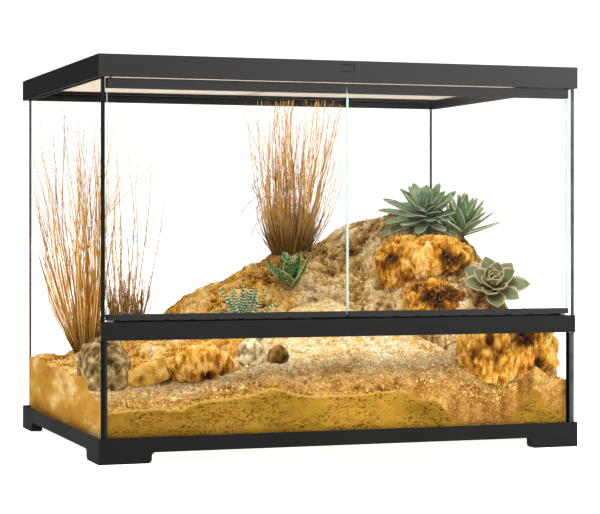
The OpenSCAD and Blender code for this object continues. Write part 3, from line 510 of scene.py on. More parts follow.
def moundShape(u, v):
    # an eased climb from the foot to the ridge, and an eased fall from there to the back pane
    start, top = along("sandEdge", u), along("ridgeEdge", u)
    crest = land["moundHeight"] + along("ridge", u)
    foot = along("edge", u) + land["rise"]
    climb = eased(0.22 + 0.78 * (v - start) / (top - start)) * 1.13 - 0.13
    fall = eased((v - top) / (1 - top))
    return floorZ + land["moundWaves"] * ripple(u, v) + np.where(
        v < top, foot + (crest - foot) * climb, crest + (along("back", u) - crest) * fall)


def onGround(u, v, up=0.0):
    # the point of the ground at u across and v from front to back, raised by up
    u, v = np.asarray(u, float), np.asarray(v, float)
    height = np.where(v < along("sandEdge", u), sandShape(u, v), moundShape(u, v))
    return np.stack([u * innerX, -innerY + 2 * innerY * v, height + up], -1)


def hollowAt(points, hollows):
    # 1 in the middle of a hollow, falling away round it as a bell
    near = np.zeros(points.shape[:-1])
    for x, y, z, radius in hollows:
        near = np.maximum(near, np.exp(-((points - (x, y, z)) ** 2).sum(-1) / radius ** 2))
    return near


def landPiece(name, node, material, vFrom, vTo, rows, shape, roughen):
    # grid of heights with upright walls down to the bottom pane and a flat underside
    columns = land["columns"]
    u = np.linspace(-1, 1, columns)[None, :].repeat(rows, 0)
    v = vFrom(u) + (vTo(u) - vFrom(u)) * np.linspace(0, 1, rows)[:, None]
    top = np.stack([u * innerX, -innerY + 2 * innerY * v, shape(u, v)], -1)
    lift, cavity, zone = roughen(top)
    top[..., 2] += lift
    count = rows * columns
    number = np.arange(count).reshape(rows, columns)
    loop = np.concatenate([number[0, :-1], number[:-1, -1], number[-1, :0:-1], number[:0:-1, 0]])
    feet = top.reshape(-1, 3)[loop].copy()
    below = feet[:, 2] - floorZ
    feet[:, 2] = floorZ
    after = np.roll(loop, -1)
    foot = count + np.arange(len(loop))
    walls = np.stack([loop, foot, np.roll(foot, -1), after], -1)
    points = np.concatenate([top.reshape(-1, 3), feet])
    # hollow, tone of the place and millimetres below the surface
    mark = np.stack([cavity, zone, 0 * zone], -1).reshape(-1, 3)
    mark = np.concatenate([mark, np.stack([0.5 + 0 * below, zone.ravel()[loop], below], -1)])
    piece = addPiece(name, points, [gridFaces(rows, columns), walls, [foot[::-1]]], material,
                     node=node, marks={"earth": mark})
    smooth = np.ones(len(piece.data.polygons), bool)
    smooth[(rows - 1) * (columns - 1):] = False
    piece.data.polygons.foreach_set("use_smooth", smooth)
    return piece


def roughSand(top):
    # low drifts, then crumbs that come and go in patches
    drift = layeredNoise(top, 60, 3, 11)
    patch = np.clip(layeredNoise(top, 45, 2, 23) + 0.45, 0, 1)
    crumb = np.clip(layeredNoise(top, 8, 3, 31), -0.3, 1)
    fine = layeredNoise(top, 3.4, 2, 37)
    lift = 1.8 * drift + patch * 2.8 * crumb + 0.8 * fine
    # the strip behind the front glass is coarser than the lit sand further in, and darker as painted shade
    front = 1 - eased((top[..., 1] + innerY) / (74 + 24 * drift) - 0.1)
    # the hollow mark: lower where crumbs stand up, so the ground between them is darker as painted shade,
    # over a random tone
    cavity = 0.4 + 0.4 * layeredNoise(top, 9, 3, 41) - 0.45 * crumb * patch - 0.12 * fine
    return lift, np.clip(cavity, 0, 1), front


def roughClay(top):
    # clods with creases between them, then grit; yellow at the left, tan towards the crest at the right
    clod = ridges(top * np.array([1, 1, 1.3]), 52, 3, 51)
    lump = layeredNoise(top, 22, 3, 57)
    grit = layeredNoise(top, 5, 3, 61)
    fade = np.clip((top[..., 1] + innerY) / 30, 0, 1) * np.clip((innerX - np.abs(top[..., 0])) / 12, 0.1, 1)
    crease = hollowAt(top, land["creases"])
    lift = fade * (5 * (clod - 0.5) + 4 * lump + 2.2 * grit - 8 * crease)
    zone = eased((top[..., 0] - 5) / 70 + 0.5 + 0.5 * layeredNoise(top, 60, 2, 67))
    # sand has blown up over its foot
    rising = (top[..., 1] + innerY) / (2 * innerY) - along("sandEdge", top[..., 0] / innerX)
    foot = 1 - eased(rising / 0.12 + 0.25 * lump)
    # the hollow mark: lighter on lumps and clods, darker where the grit is low and in the crease as painted
    # shade, and lighter at the foot where sand lies
    cavity = 0.5 - 0.45 * lump - 0.3 * (clod - 0.5) - 0.35 * grit + 0.5 * crease - 0.3 * foot
    return lift, np.clip(cavity, 0, 1), zone


earthSet = {
    # tones from crest to hollow outside its zone and within it, pale as painted light on the crests and dark
    # as painted shade in the hollows, tones of the pressed wall, the grit in millimetres, and how strongly
    # grains and brown folds show
    "dryClaySand": ([(0.2, "#fffff0"), (0.45, "#fff8d8"), (0.6, "#f8d88c"), (0.78, "#b0833a")],
                    [(0.2, "#ecca86"), (0.42, "#cfa255"), (0.6, "#94692a"), (0.78, "#4c3310")],
                    [(0.3, "#7d5a15"), (0.45, "#94701f"), (0.58, "#b0852c"), (0.72, "#8c651a")],
                    2.3, 0.62, 0.2),
    "packedClay": ([(0.2, "#fff6d0"), (0.4, "#ffd984"), (0.55, "#e3a63a"), (0.7, "#6d430e")],
                   [(0.2, "#fff6d8"), (0.4, "#ecd298"), (0.53, "#b3935a"), (0.68, "#4a381a")],
                   [(0.3, "#8a5f14"), (0.5, "#a97a20"), (0.7, "#bd9138")], 2.2, 0.5, 0.8),
}


def earthMaterial(name):
    # loose mineral ground: tones follow its hollows, dark in them as painted shade; each grain has a tone and
    # a dark gap round it, a painted shadow between the grains; and packed ground has dark brown folds
    codes, zoneCodes, wallCodes, grit, grainShare, foldShare = earthSet[name]
    material, tree, shader, coords = newMaterial(name, {"Roughness": 0.94, "Specular IOR Level": 0.05})
    mark = addNode(tree, "Attribute", attribute_name="earth").outputs["Vector"]
    hollow, zone, below = addNode(tree, "SeparateXYZ", [mark]).outputs
    place = addNode(tree, "SeparateXYZ", [coords])
    cloud = addNode(tree, "TexNoise", {"Vector": coords, "Scale": 14.0, "Detail": 7.0, "Roughness": 0.62})
    mixed = addNode(tree, "Math", [hollow, cloud], operation="ADD")
    mixed = addNode(tree, "Math", [mixed, 0.5], operation="MULTIPLY")
    tone = addNode(tree, "ValToRGB", [mixed], codes)
    zoneTone = addNode(tree, "ValToRGB", [mixed], zoneCodes)
    base = addNode(tree, "MixRGB", [zone, tone, zoneTone])
    # grain cells, pushed out of line by a finer noise
    push = addNode(tree, "TexNoise", {"Vector": coords, "Scale": 0.6 / (grit * mm), "Detail": 3.0})
    pushed = addNode(tree, "MixRGB", [grit * mm * 0.9, coords, push.outputs["Color"]], blend_type="ADD")
    cells = addNode(tree, "TexVoronoi", {"Vector": pushed, "Scale": 1 / (grit * mm)})
    shade = addNode(tree, "SeparateColor", [cells.outputs["Color"]])
    grainTone = addNode(tree, "ValToRGB", [shade],
                        [(0.02, "#8a6834"), (0.12, "#dcbf86"), (0.4, "#faeecb"), (0.7, "#ffffff")])
    # a dark gap round each grain: painted shadow between the grains
    gap = addNode(tree, "MapRange", [cells, 0.36, 0.66, 0.0, 0.85])
    grains = addNode(tree, "MixRGB", [gap, grainTone, "#7d5621"])
    # dark brown folds where a distorted noise is low
    fold = addNode(tree, "TexNoise", {"Vector": coords, "Scale": 46.0, "Detail": 7.0, "Roughness": 0.68,
                                      "Distortion": 1.6})
    brownFold = addNode(tree, "MapRange", [fold, 0.36, 0.5, foldShare, 0.0])
    base = addNode(tree, "MixRGB", [brownFold, base, "#4a3110"])
    # clods pale in the middle and darker towards their rims: painted shade between the clods
    clods = addNode(tree, "TexVoronoi", {"Vector": pushed, "Scale": 0.28 / (grit * mm), "Randomness": 1.0},
                    feature="SMOOTH_F1")
    clodTone = addNode(tree, "ValToRGB", [clods], [(0.25, "#ffffff"), (0.55, "#ead9b4"), (0.8, "#b08a4c")])
    base = addNode(tree, "MixRGB", [0.6, base, clodTone], blend_type="MULTIPLY")
    top = addNode(tree, "MixRGB", [grainShare, base, grains], blend_type="MULTIPLY")
    # against the glass it is pressed smooth: dark specks gather in bands under a thin pale crust
    stretch = addNode(tree, "Mapping", {"Vector": coords, "Scale": (1, 1, 2.6)})
    layers = addNode(tree, "TexNoise", {"Vector": stretch, "Scale": 10.0, "Detail": 5.0, "Roughness": 0.5})
    wall = addNode(tree, "ValToRGB", [layers], wallCodes)
    # darker and browner towards the left
    leftBrowning = addNode(tree, "MapRange", [place.outputs["X"], -0.26, 0.0, 0.55, 0.0],
                   interpolation_type="SMOOTHSTEP")
    wall = addNode(tree, "MixRGB", [leftBrowning, wall, "#684812"])
    band = addNode(tree, "TexNoise", {"Vector": stretch, "Scale": 17.0, "Detail": 3.0})
    band = addNode(tree, "MapRange", [band, 0.38, 0.5, 0.25, 1.0])
    flat = addNode(tree, "Mapping", {"Vector": coords, "Scale": (1, 1, 1.8)})
    dots = addNode(tree, "TexNoise", {"Vector": flat, "Scale": 0.26 / mm, "Detail": 5.0, "Roughness": 0.75,
                                      "Distortion": 0.7})
    dots = addNode(tree, "MapRange", [dots, 0.43, 0.48, 0.95, 0.0])
    specks = addNode(tree, "Math", [dots, band], operation="MULTIPLY")
    wall = addNode(tree, "MixRGB", [specks, wall, "#3a2408"])
    crust = addNode(tree, "MapRange", [below, 0.8, 3.2, 0.7, 0.0])
    wall = addNode(tree, "MixRGB", [crust, wall, "#c5a150"])
    # the left pane's wall of sand is mottled gold and lighter than the front wall, as painted light falling
    # from the left, with pale patches
    leftWall = addNode(tree, "Math", [place.outputs["X"], (-innerX + land["paneTouch"]) * mm],
                       operation="LESS_THAN")
    leftWall = addNode(tree, "Math", [leftWall, 0.8], operation="MULTIPLY")
    drawnOut = addNode(tree, "Mapping", {"Vector": coords, "Scale": (1, 0.3, 1)})
    mottle = addNode(tree, "TexNoise", {"Vector": drawnOut, "Scale": 30.0, "Detail": 8.0, "Roughness": 0.6})
    mottle = addNode(tree, "ValToRGB", [mottle],
                     [(0.32, "#7d4f12"), (0.43, "#b07a22"), (0.55, "#c4913a"), (0.68, "#ecd090")])
    wall = addNode(tree, "MixRGB", [leftWall, wall, mottle])
    # only what lies on a pane is pressed; at the right the heap stays loose some way down
    loose = addNode(tree, "MapRange", [place.outputs["X"], 0.04, 0.2, -4.9, 30.0],
                    interpolation_type="SMOOTHSTEP")
    wavy = addNode(tree, "MapRange", [cloud, 0.3, 0.7, 0.4, 1.5])
    loose = addNode(tree, "Math", [loose, wavy], operation="MULTIPLY")
    deep = addNode(tree, "Math", [below, loose], operation="SUBTRACT")
    deep = addNode(tree, "MapRange", [deep, 0.0, 5.0], interpolation_type="SMOOTHSTEP")
    touching = []
    for axis, reach in (("Y", innerY), ("X", innerX)):
        away = addNode(tree, "Math", [place.outputs[axis]], operation="ABSOLUTE")
        touching.append(addNode(tree, "Math", [away, (reach - land["paneTouch"]) * mm],
                                operation="GREATER_THAN"))
    atGlass = addNode(tree, "Math", touching, operation="MAXIMUM")
    pressed = addNode(tree, "Math", [deep, atGlass], operation="MULTIPLY")
    colour = addNode(tree, "MixRGB", [pressed, top, wall])
    height = addNode(tree, "Math", [push, gap], operation="SUBTRACT")
    bump = addNode(tree, "Bump", {"Height": height, "Strength": 0.8, "Distance": 0.35 * grit * mm})
    setInputs(shader, {"Base Color": colour, "Normal": bump})
    return material


def makeGround():
    # the sand lies in front of the hill's foot, the clay behind it
    edge = lambda u: along("sandEdge", u)
    landPiece("sandBed", "sand_bed", earthMaterial("dryClaySand"), lambda u: 0 * u, edge,
              land["sandRows"], sandShape, roughSand)
    landPiece("clayMound", "clay_mound", earthMaterial("packedClay"), edge, lambda u: 0 * u + 1,
              land["moundRows"], moundShape, roughClay)
    print("ground laid")


# numbers of each kind, and the sizes of the pebbles in millimetres
crumbSet = {"sand": 7500, "clay": 3600, "pebbles": 260, "pebbleSizes": (1.8, 3.4), "sunk": 0.25}


def makeCrumbs():
    # loose grains and pebbles: octahedra stretched and turned at random, half sunk in the ground
    random = np.random.default_rng(31)
    sandCount = crumbSet["sand"] + crumbSet["pebbles"]
    count = sandCount + crumbSet["clay"]
    u = random.uniform(-0.985, 0.985, count)
    edge = along("sandEdge", u)
    part = random.uniform(0.015, 1, count)
    onSand = np.arange(count) < sandCount
    v = np.where(onSand, edge * part ** 1.35, edge + (along("ridgeEdge", u) - edge) * part)
    size = random.uniform(0, 1, count) ** 2.5 * 1.2 + 0.55
    size[:crumbSet["pebbles"]] = random.uniform(*crumbSet["pebbleSizes"], crumbSet["pebbles"])
    top = onGround(u, v)
    top[:, 2] += np.where(onSand, roughSand(top)[0], roughClay(top)[0]) + crumbSet["sunk"] * size
    unit = np.array([[1, 0, 0], [-1, 0, 0], [0, 1, 0], [0, -1, 0], [0, 0, 1], [0, 0, -1]], float)
    stretch = random.uniform(0.65, 1.25, (count, 1, 3)) * size[:, None, None]
    spin = np.linalg.qr(random.normal(size=(count, 3, 3)))[0]
    spin = spin * np.sign(np.linalg.det(spin))[:, None, None]
    points = np.einsum("nij,nkj->nki", spin, unit[None] * stretch) + top[:, None]
    corners = np.array([[0, 2, 4], [2, 1, 4], [1, 3, 4], [3, 0, 4],
                        [2, 0, 5], [1, 2, 5], [3, 1, 5], [0, 3, 5]])
    faces = (np.arange(count)[:, None, None] * 6 + corners[None]).reshape(-1, 3)
    # grains in the strip behind the front glass are darker: painted shade
    inFront = np.clip(1 - (top[:, 1] + innerY) / 80, 0, 1)
    tone = random.normal(0.74, 0.2, count) - np.where(onSand, 0.4 * inFront, 0.16)
    tone = np.clip(tone, 0, 1)
    material, tree, shader, coords = newMaterial("looseGrit", {"Roughness": 0.92, "Specular IOR Level": 0.15})
    own = addNode(tree, "Attribute", attribute_name="tone").outputs["Fac"]
    cloud = addNode(tree, "TexNoise", {"Vector": coords, "Scale": 900.0, "Detail": 2.0})
    mixed = addNode(tree, "MixRGB", [0.25, own, cloud])
    tint = addNode(tree, "ValToRGB", [mixed],
                   [(0.05, "#3f2a10"), (0.25, "#96671f"), (0.5, "#d6a954"), (0.85, "#fbe9b4")])
    setInputs(shader, {"Base Color": tint})
    addPiece("looseCrumbs", points, [faces], material, smooth=False,
             marks={"tone": np.repeat(tone, 6)})
    print("crumbs scattered")


# stones and bark

def lumpGrid(centre, radii, rows, columns, rough):
    # a ball of the given radii, moved out along its own directions by rough(points)
    lift = np.linspace(-math.pi / 2, math.pi / 2, rows)[:, None]
    turn = np.arange(columns)[None, :] * 2 * math.pi / columns
    unit = np.stack([np.cos(lift) * np.cos(turn), np.cos(lift) * np.sin(turn),
                     np.sin(lift) + 0 * turn], -1)
    points = centre + unit * np.array(radii)
    move, cavity = rough(points)
    move[0], move[-1] = move[0].mean(), move[-1].mean()
    return points + unit * move[..., None], cavity


def stonePiece(name, node, slot, material, lumps, rows, columns, rough):
    # one ball for each lump's middle and radii, all in one mesh
    points, cavities, faces = [], [], []
    room = np.array([innerX, innerY]) - 0.6
    for k, (centre, radii) in enumerate(lumps):
        grid, cavity = lumpGrid(np.array(centre), radii, rows, columns, rough)
        grid[..., :2] = np.clip(grid[..., :2], -room, room)     # pressed flat where it meets the glass
        points.append(grid.reshape(-1, 3))
        cavities.append(cavity.ravel())
        faces.append(gridFaces(rows, columns, ring=True) + k * rows * columns)
    points = np.concatenate(points)
    weldPoles(addPiece(name, points, faces, material, node=node,
                       marks={"cavity": np.concatenate(cavities)}))
    return points


def twoGrained(shader, cloud, grain, codes, grainCodes, share, height):
    # tones follow a piece's hollows, dark in them as painted shade, and a coarse cloud; a fine grain darkens
    # and roughens them
    tree = shader.id_data
    cavity = addNode(tree, "Attribute", attribute_name="cavity").outputs["Fac"]
    mixed = addNode(tree, "Math", [cavity, cloud], operation="ADD")
    mixed = addNode(tree, "Math", [mixed, 0.5], operation="MULTIPLY")
    tint = addNode(tree, "ValToRGB", [mixed], codes)
    fine = addNode(tree, "ValToRGB", [grain], grainCodes)
    colour = addNode(tree, "MixRGB", [share, tint, fine], blend_type="MULTIPLY")
    bump = addNode(tree, "Bump", {"Height": grain, "Strength": 0.9, "Distance": height * mm})
    setInputs(shader, {"Base Color": colour, "Normal": bump})


def rockMaterial(name, codes, grit, roughness=0.88, height=0.8):
    # broken rock or fired clay: matt tones by hollow, dark in the hollows as painted shade, with a grain of
    # its own size
    material, tree, shader, coords = newMaterial(name, {"Roughness": roughness, "Specular IOR Level": 0.08})
    cloud = addNode(tree, "TexNoise", {"Vector": coords, "Scale": 1 / (grit * 9 * mm), "Detail": 7.0,
                                       "Roughness": 0.65})
    grain = addNode(tree, "TexNoise", {"Vector": coords, "Scale": 1 / (grit * mm), "Detail": 4.0,
                                       "Roughness": 0.7})
    twoGrained(shader, cloud, grain, codes, [(0.36, "#6f5a38"), (0.5, "#e9ddc2"), (0.6, "#ffffff")], 0.7,
               height)
    return material


barkSet = {
    "rows": 130, "columns": 240, "fibres": 3600,
    # place on the ground, height over it and radii of each lump
    "lumps": [(.468, .395, 6, (34, 30, 36)), (.62, .355, 2, (48, 38, 30)), (.56, .27, -2, (44, 28, 24)),
              (.71, .1, 6, (46, 34, 54)), (.87, .085, 6, (38, 30, 54)), (-.53, .19, 8, (43, 28, 30))],
    # middles and radii of the hollows between and in the lumps, dented and darkened with painted shade
    "hollows": [(115, -68, 232, 11), (182, -101, 236, 12), (192, -101, 226, 10), (132, -100, 200, 10),
                (148, -124, 184, 13), (160, -126, 178, 14), (172, -124, 186, 15), (186, -112, 184, 17),
                (201, -92, 195, 16), (210, -83, 206, 13), (193, -203, 137, 6), (239, -206, 137, 14),
                (257, -209, 100, 11), (-150, -160, 92, 7)],
}


def roughBark(points):
    # knotted lumps with shallow pits and a few deep hollows, and stringy fibres that run down them
    knot = layeredNoise(points, 30, 3, 71)
    node = layeredNoise(points, 10, 2, 77)
    pit = np.clip(layeredNoise(points, 22, 2, 79) - 0.25, 0, 1)
    fibre = layeredNoise(points * np.array([1, 1, 0.4]), 4.2, 2, 83)
    hollow = hollowAt(points, barkSet["hollows"])
    move = 6.5 * knot + 3.4 * node - 4 * pit + 1.6 * fibre - 10 * hollow
    # the second value darkens pits, low knots and fibres and the deep hollows: painted shade
    return move, np.clip(0.28 + 0.22 * pit - 0.2 * knot - 0.12 * node - 0.3 * fibre + 0.8 * hollow, 0, 1)


def barkMaterial():
    # cork bark and moss: stringy gold over hollows darkened to brown as painted shade, with strands drawn
    # along the height
    material, tree, shader, coords = newMaterial("corkBark", {"Roughness": 0.93, "Specular IOR Level": 0.06})
    cloud = addNode(tree, "TexNoise", {"Vector": coords, "Scale": 70.0, "Detail": 6.0, "Roughness": 0.7})
    cloud = addNode(tree, "MapRange", [cloud, 0.25, 0.75, 0.3, 0.62])
    stretch = addNode(tree, "Mapping", {"Vector": coords, "Scale": (1, 1, 0.35)})
    strand = addNode(tree, "TexNoise", {"Vector": stretch, "Scale": 330.0, "Detail": 6.0,
                                        "Roughness": 0.75, "Distortion": 2.2})
    twoGrained(shader, cloud, strand,
               [(0.2, "#ffe49a"), (0.36, "#eeb94c"), (0.46, "#b98226"), (0.57, "#6f491c"), (0.74, "#35231a")],
               [(0.36, "#6a4011"), (0.46, "#d9a54c"), (0.54, "#ffffff")], 0.75, 1.4)
    return material


def roughRock(points):
    # broken faces with ridges between them, and chips
    face = ridges(points, 24, 3, 91)
    chip = layeredNoise(points, 7, 3, 97)
    # the second value darkens the chipped and low parts: painted shade
    return 3.2 * (face - 0.6) + 1.1 * chip, np.clip(0.5 - 0.6 * chip - 0.4 * (face - 0.6), 0, 1)


stoneSet = {
    # name of the mesh, place on the ground, radii, rows, columns, and its rock: name, tones from crest to the
    # hollows' painted shade, and grit
    "boulder": ("boulderRock", (-.915, .26, 9), (34, 46, 42), 110, 160, "oliveRock",
                [(0.25, "#d6c398"), (0.45, "#a08a5c"), (0.62, "#6b5730"), (0.8, "#2a200e")], 1.1),
    "pale_stone": ("paleRock", (-.31, .185, 9), (17.5, 16, 20), 60, 80, "paleRock",
                   [(0.25, "#fffbe8"), (0.48, "#ecdfb8"), (0.62, "#b5a27a"), (0.8, "#5a4b2e")], 1.0),
    "dark_stone": ("brownRock", (-.205, .17, 6), (12.5, 12, 13), 60, 80, "brownRock",
                   [(0.25, "#a8884f"), (0.5, "#6f5428"), (0.75, "#332511")], 1.0),
}


def makeStones():
    bark = barkMaterial()
    lumps = [(onGround(u, v, up), radii) for u, v, up, radii in barkSet["lumps"]]
    grid = barkSet["rows"], barkSet["columns"], roughBark
    upper = stonePiece("barkKnots", "cork_bark", "bark", bark, lumps[:3], *grid)
    lower = stonePiece("barkFoot", None, "bark", bark, lumps[3:], *grid)
    makeFibres(np.concatenate([upper, lower]), lumps)
    for node, (name, place, radii, rows, columns, rock, codes, grit) in stoneSet.items():
        stonePiece(name, node, node + "_rock", rockMaterial(rock, codes, grit),
                   [(onGround(*place), radii)], rows, columns, roughRock)
    print("stones set")


def makeFibres(skin, lumps):
    # short curled coir fibres that stand and lie on the bark's skin
    random = np.random.default_rng(41)
    count = barkSet["fibres"]
    per = barkSet["rows"] * barkSet["columns"]
    pick = random.integers(0, len(skin), count)
    roots = skin[pick]
    middle = np.array([centre for centre, radii in lumps])[pick // per]
    away = np.degrees(np.arctan2(roots[:, 1] - middle[:, 1], roots[:, 0] - middle[:, 0]))
    points, marks, unused = stalks(roots, away + random.normal(0, 70, count), random.uniform(-50, 60, count),
                                   random.normal(0, 70, count), 0 * away, random.uniform(4, 13, count),
                                   random.uniform(0.3, 0.6, count), np.full(count, 1.0), random,
                                   rings=5, sides=3)
    room = np.array([innerX, innerY]) - 1
    points[..., :2] = np.clip(points[..., :2], -room, room)
    leafPiece("barkFibres", None, strawMaterial("coirFibre", [(0.0, "#5a3510"), (0.35, "#bf7f20"),
              (0.75, "#edb94e"), (1.0, "#ffe9a6")]), points, marks * np.array([1, 1, 0]))


# millimetres and degrees; the outline is drawn in at some heights by the scale there
slabSet = {
    "outline": [(-28, -13), (2, -15), (27, -13), (30, 8), (6, 17), (-25, 13)], "steps": 26,
    "heights": [0, 3, 6, 9, 12, 15, 18, 21, 23.5, 25.4, 26, 26, 26],
    "scale": [0.95, 1, 1, 1, 1, 1, 1, 1, 1, 0.97, 0.9, 0.55, 0.15],
    "turn": (4, -21, -22), "place": (-.75, .19, -2), "rough": 9,
}


def makeSlab():
    # a split flag of sandstone: an outline carried up in steps, drawn in at top and bottom
    outline = np.array(slabSet["outline"], float)
    corner = np.arange(len(outline) * slabSet["steps"]) / slabSet["steps"]
    first = corner.astype(int)
    part = (corner - first)[:, None]
    ring = outline[first] * (1 - part) + outline[(first + 1) % len(outline)] * part
    heights = np.array(slabSet["heights"])
    scale = np.array(slabSet["scale"])
    rows, count = len(heights), len(ring)
    grid = np.concatenate([ring[None] * scale[:, None, None],
                           np.broadcast_to(heights[:, None, None], (rows, count, 1))], -1)
    points = grid @ turned(*slabSet["turn"]).T + onGround(*slabSet["place"])
    rough = layeredNoise(points, slabSet["rough"], 3, 101)
    points = points + rough[..., None] * np.array([0.7, 0.7, 0.9])
    caps = [np.arange(count)[::-1], np.arange(count) + (rows - 1) * count]
    stone = rockMaterial("splitSandstone", [(0.25, "#ffe090"), (0.5, "#dfae4a"), (0.75, "#80591b")], 1.2)
    # the hollow mark darkens the low parts of the roughness: painted shade
    addPiece("slabStone", points, [gridFaces(rows, count, ring=True), caps], stone, node="flat_stone",
             marks={"cavity": np.clip(0.5 - 0.5 * rough.ravel(), 0, 1)})


# the profile's radius and height, from the underside up the wall and down to the earth in it
potSet = {"place": (.893, .22, 11), "sides": 64,
          "profile": [(0, -34), (17.2, -34), (19, -22), (21, -8), (21.2, -5), (22, -5), (22, 0), (20, 0),
                      (18.5, -4), (18.5, -9.8), (0, -9.8)]}


def makePot():
    # a thrown clay pot: its wall's profile turned about the upright
    profile = np.array(potSet["profile"], float)
    turn = np.arange(potSet["sides"]) * 2 * math.pi / potSet["sides"]
    points = np.stack([profile[:, :1] * np.cos(turn), profile[:, :1] * np.sin(turn),
                       profile[:, 1:] + 0 * turn], -1) + onGround(*potSet["place"])
    terracotta = rockMaterial("firedClay", [(0.3, "#d98d55"), (0.5, "#bd6f3c"), (0.7, "#8d4d27")], 1.2,
                              0.85, 0.25)
    cavity = np.full(points[..., 0].size, 0.5)
    weldPoles(addPiece("clayPot", points, [gridFaces(len(profile), potSet["sides"], ring=True)], terracotta,
                       node="clay_pot", marks={"cavity": cavity}))


# plants

def leafMaterial(name, codes, edgeCode, backCode, waxy=0.5, rimFrom=0.9):
    # a succulent leaf: waxy skin over a green that shows through, edges in their own tone
    material, tree, shader, coords = newMaterial(name, {
        "Roughness": waxy, "Subsurface Weight": 0.12, "Subsurface Radius": (0.4, 0.9, 0.3),
        "Subsurface Scale": 2 * mm})
    place = addNode(tree, "Attribute", attribute_name="leaf").outputs["Vector"]
    place = addNode(tree, "SeparateXYZ", [place])
    cloud = addNode(tree, "TexNoise", {"Vector": coords, "Scale": 120.0, "Detail": 4.0})
    # tone by place along the leaf, darker towards its base as painted shade of the crowded heart, blended
    # with a cloud
    level = addNode(tree, "Math", [place.outputs["Y"], 0.55], operation="MULTIPLY")
    level = addNode(tree, "MixRGB", [0.55, level, cloud])
    body = addNode(tree, "ValToRGB", [level], codes)
    back = addNode(tree, "Math", [place.outputs["Z"], 0.0], operation="LESS_THAN")
    body = addNode(tree, "MixRGB", [back, body, backCode])
    across = addNode(tree, "Math", [place.outputs["X"]], operation="ABSOLUTE")
    rim = addNode(tree, "MapRange", [across, rimFrom, 0.99])
    colour = addNode(tree, "MixRGB", [rim, body, edgeCode])
    bump = addNode(tree, "Bump", {"Height": cloud, "Strength": 0.3, "Distance": 0.3 * mm})
    setInputs(shader, {"Base Color": colour, "Normal": bump})
    return material, tree, shader, coords, colour, place


def bentLine(rise, length):
    # how far out and up each line of equal steps gets, from its angle at each point
    step = length[:, None] / (rise.shape[1] - 1)
    start = np.zeros((len(length), 1))
    return [np.concatenate([start, np.cumsum(wave(rise[:, 1:]) * step, 1)], 1) for wave in (np.cos, np.sin)]


def leaves(base, tilt, azimuth, startRise, bend, length, widths, depths, cup, rows=13, sides=12):
    # for each leaf, a bent midrib with lens-shaped rings round it; widths and depths are tables
    # along it, cup lifts its edges, and tilt is a matrix that leans the whole rosette
    t = np.linspace(0, 1, rows)
    rise = np.radians(startRise[:, None] + bend[:, None] * t)
    out, up = bentLine(rise, length)
    turn = np.radians(azimuth)
    outward = np.stack([np.cos(turn), np.sin(turn), 0 * turn], -1)[:, None]
    across = np.stack([-np.sin(turn), np.cos(turn), 0 * turn], -1)[:, None]
    upward = np.array([0, 0, 1.0])
    over = -outward * np.sin(rise)[..., None] + upward * np.cos(rise)[..., None]
    width = np.interp(t, *np.array(widths).T)[None] * (length / length.max())[:, None] ** 0.45
    depth = np.interp(t, *np.array(depths).T)[None] * np.ones_like(width)
    a = np.arange(sides) * 2 * math.pi / sides
    spread = np.cos(a) * width[..., None] / 2
    thick = np.sin(a) * depth[..., None] / 2 + cup * np.cos(a) ** 2 * width[..., None] / 2
    middle = base + outward * out[..., None] + upward * up[..., None]
    points = middle[:, :, None] + across[:, :, None] * spread[..., None] + over[:, :, None] * thick[..., None]
    heart = np.mean(base.reshape(-1, 3), 0)
    points = (points - heart) @ tilt.T + heart
    marks = np.stack([np.broadcast_to(mark, spread.shape) for mark in (np.cos(a), t[:, None], np.sin(a))],
                     -1)
    return points, marks


def leafPiece(name, node, material, points, marks):
    # closed rods in one mesh; marks are across, along and through each of them
    addPiece(name, points, rodFaces(*points.shape[:3]), material, node=node,
             marks={"leaf": marks.reshape(-1, 3)})


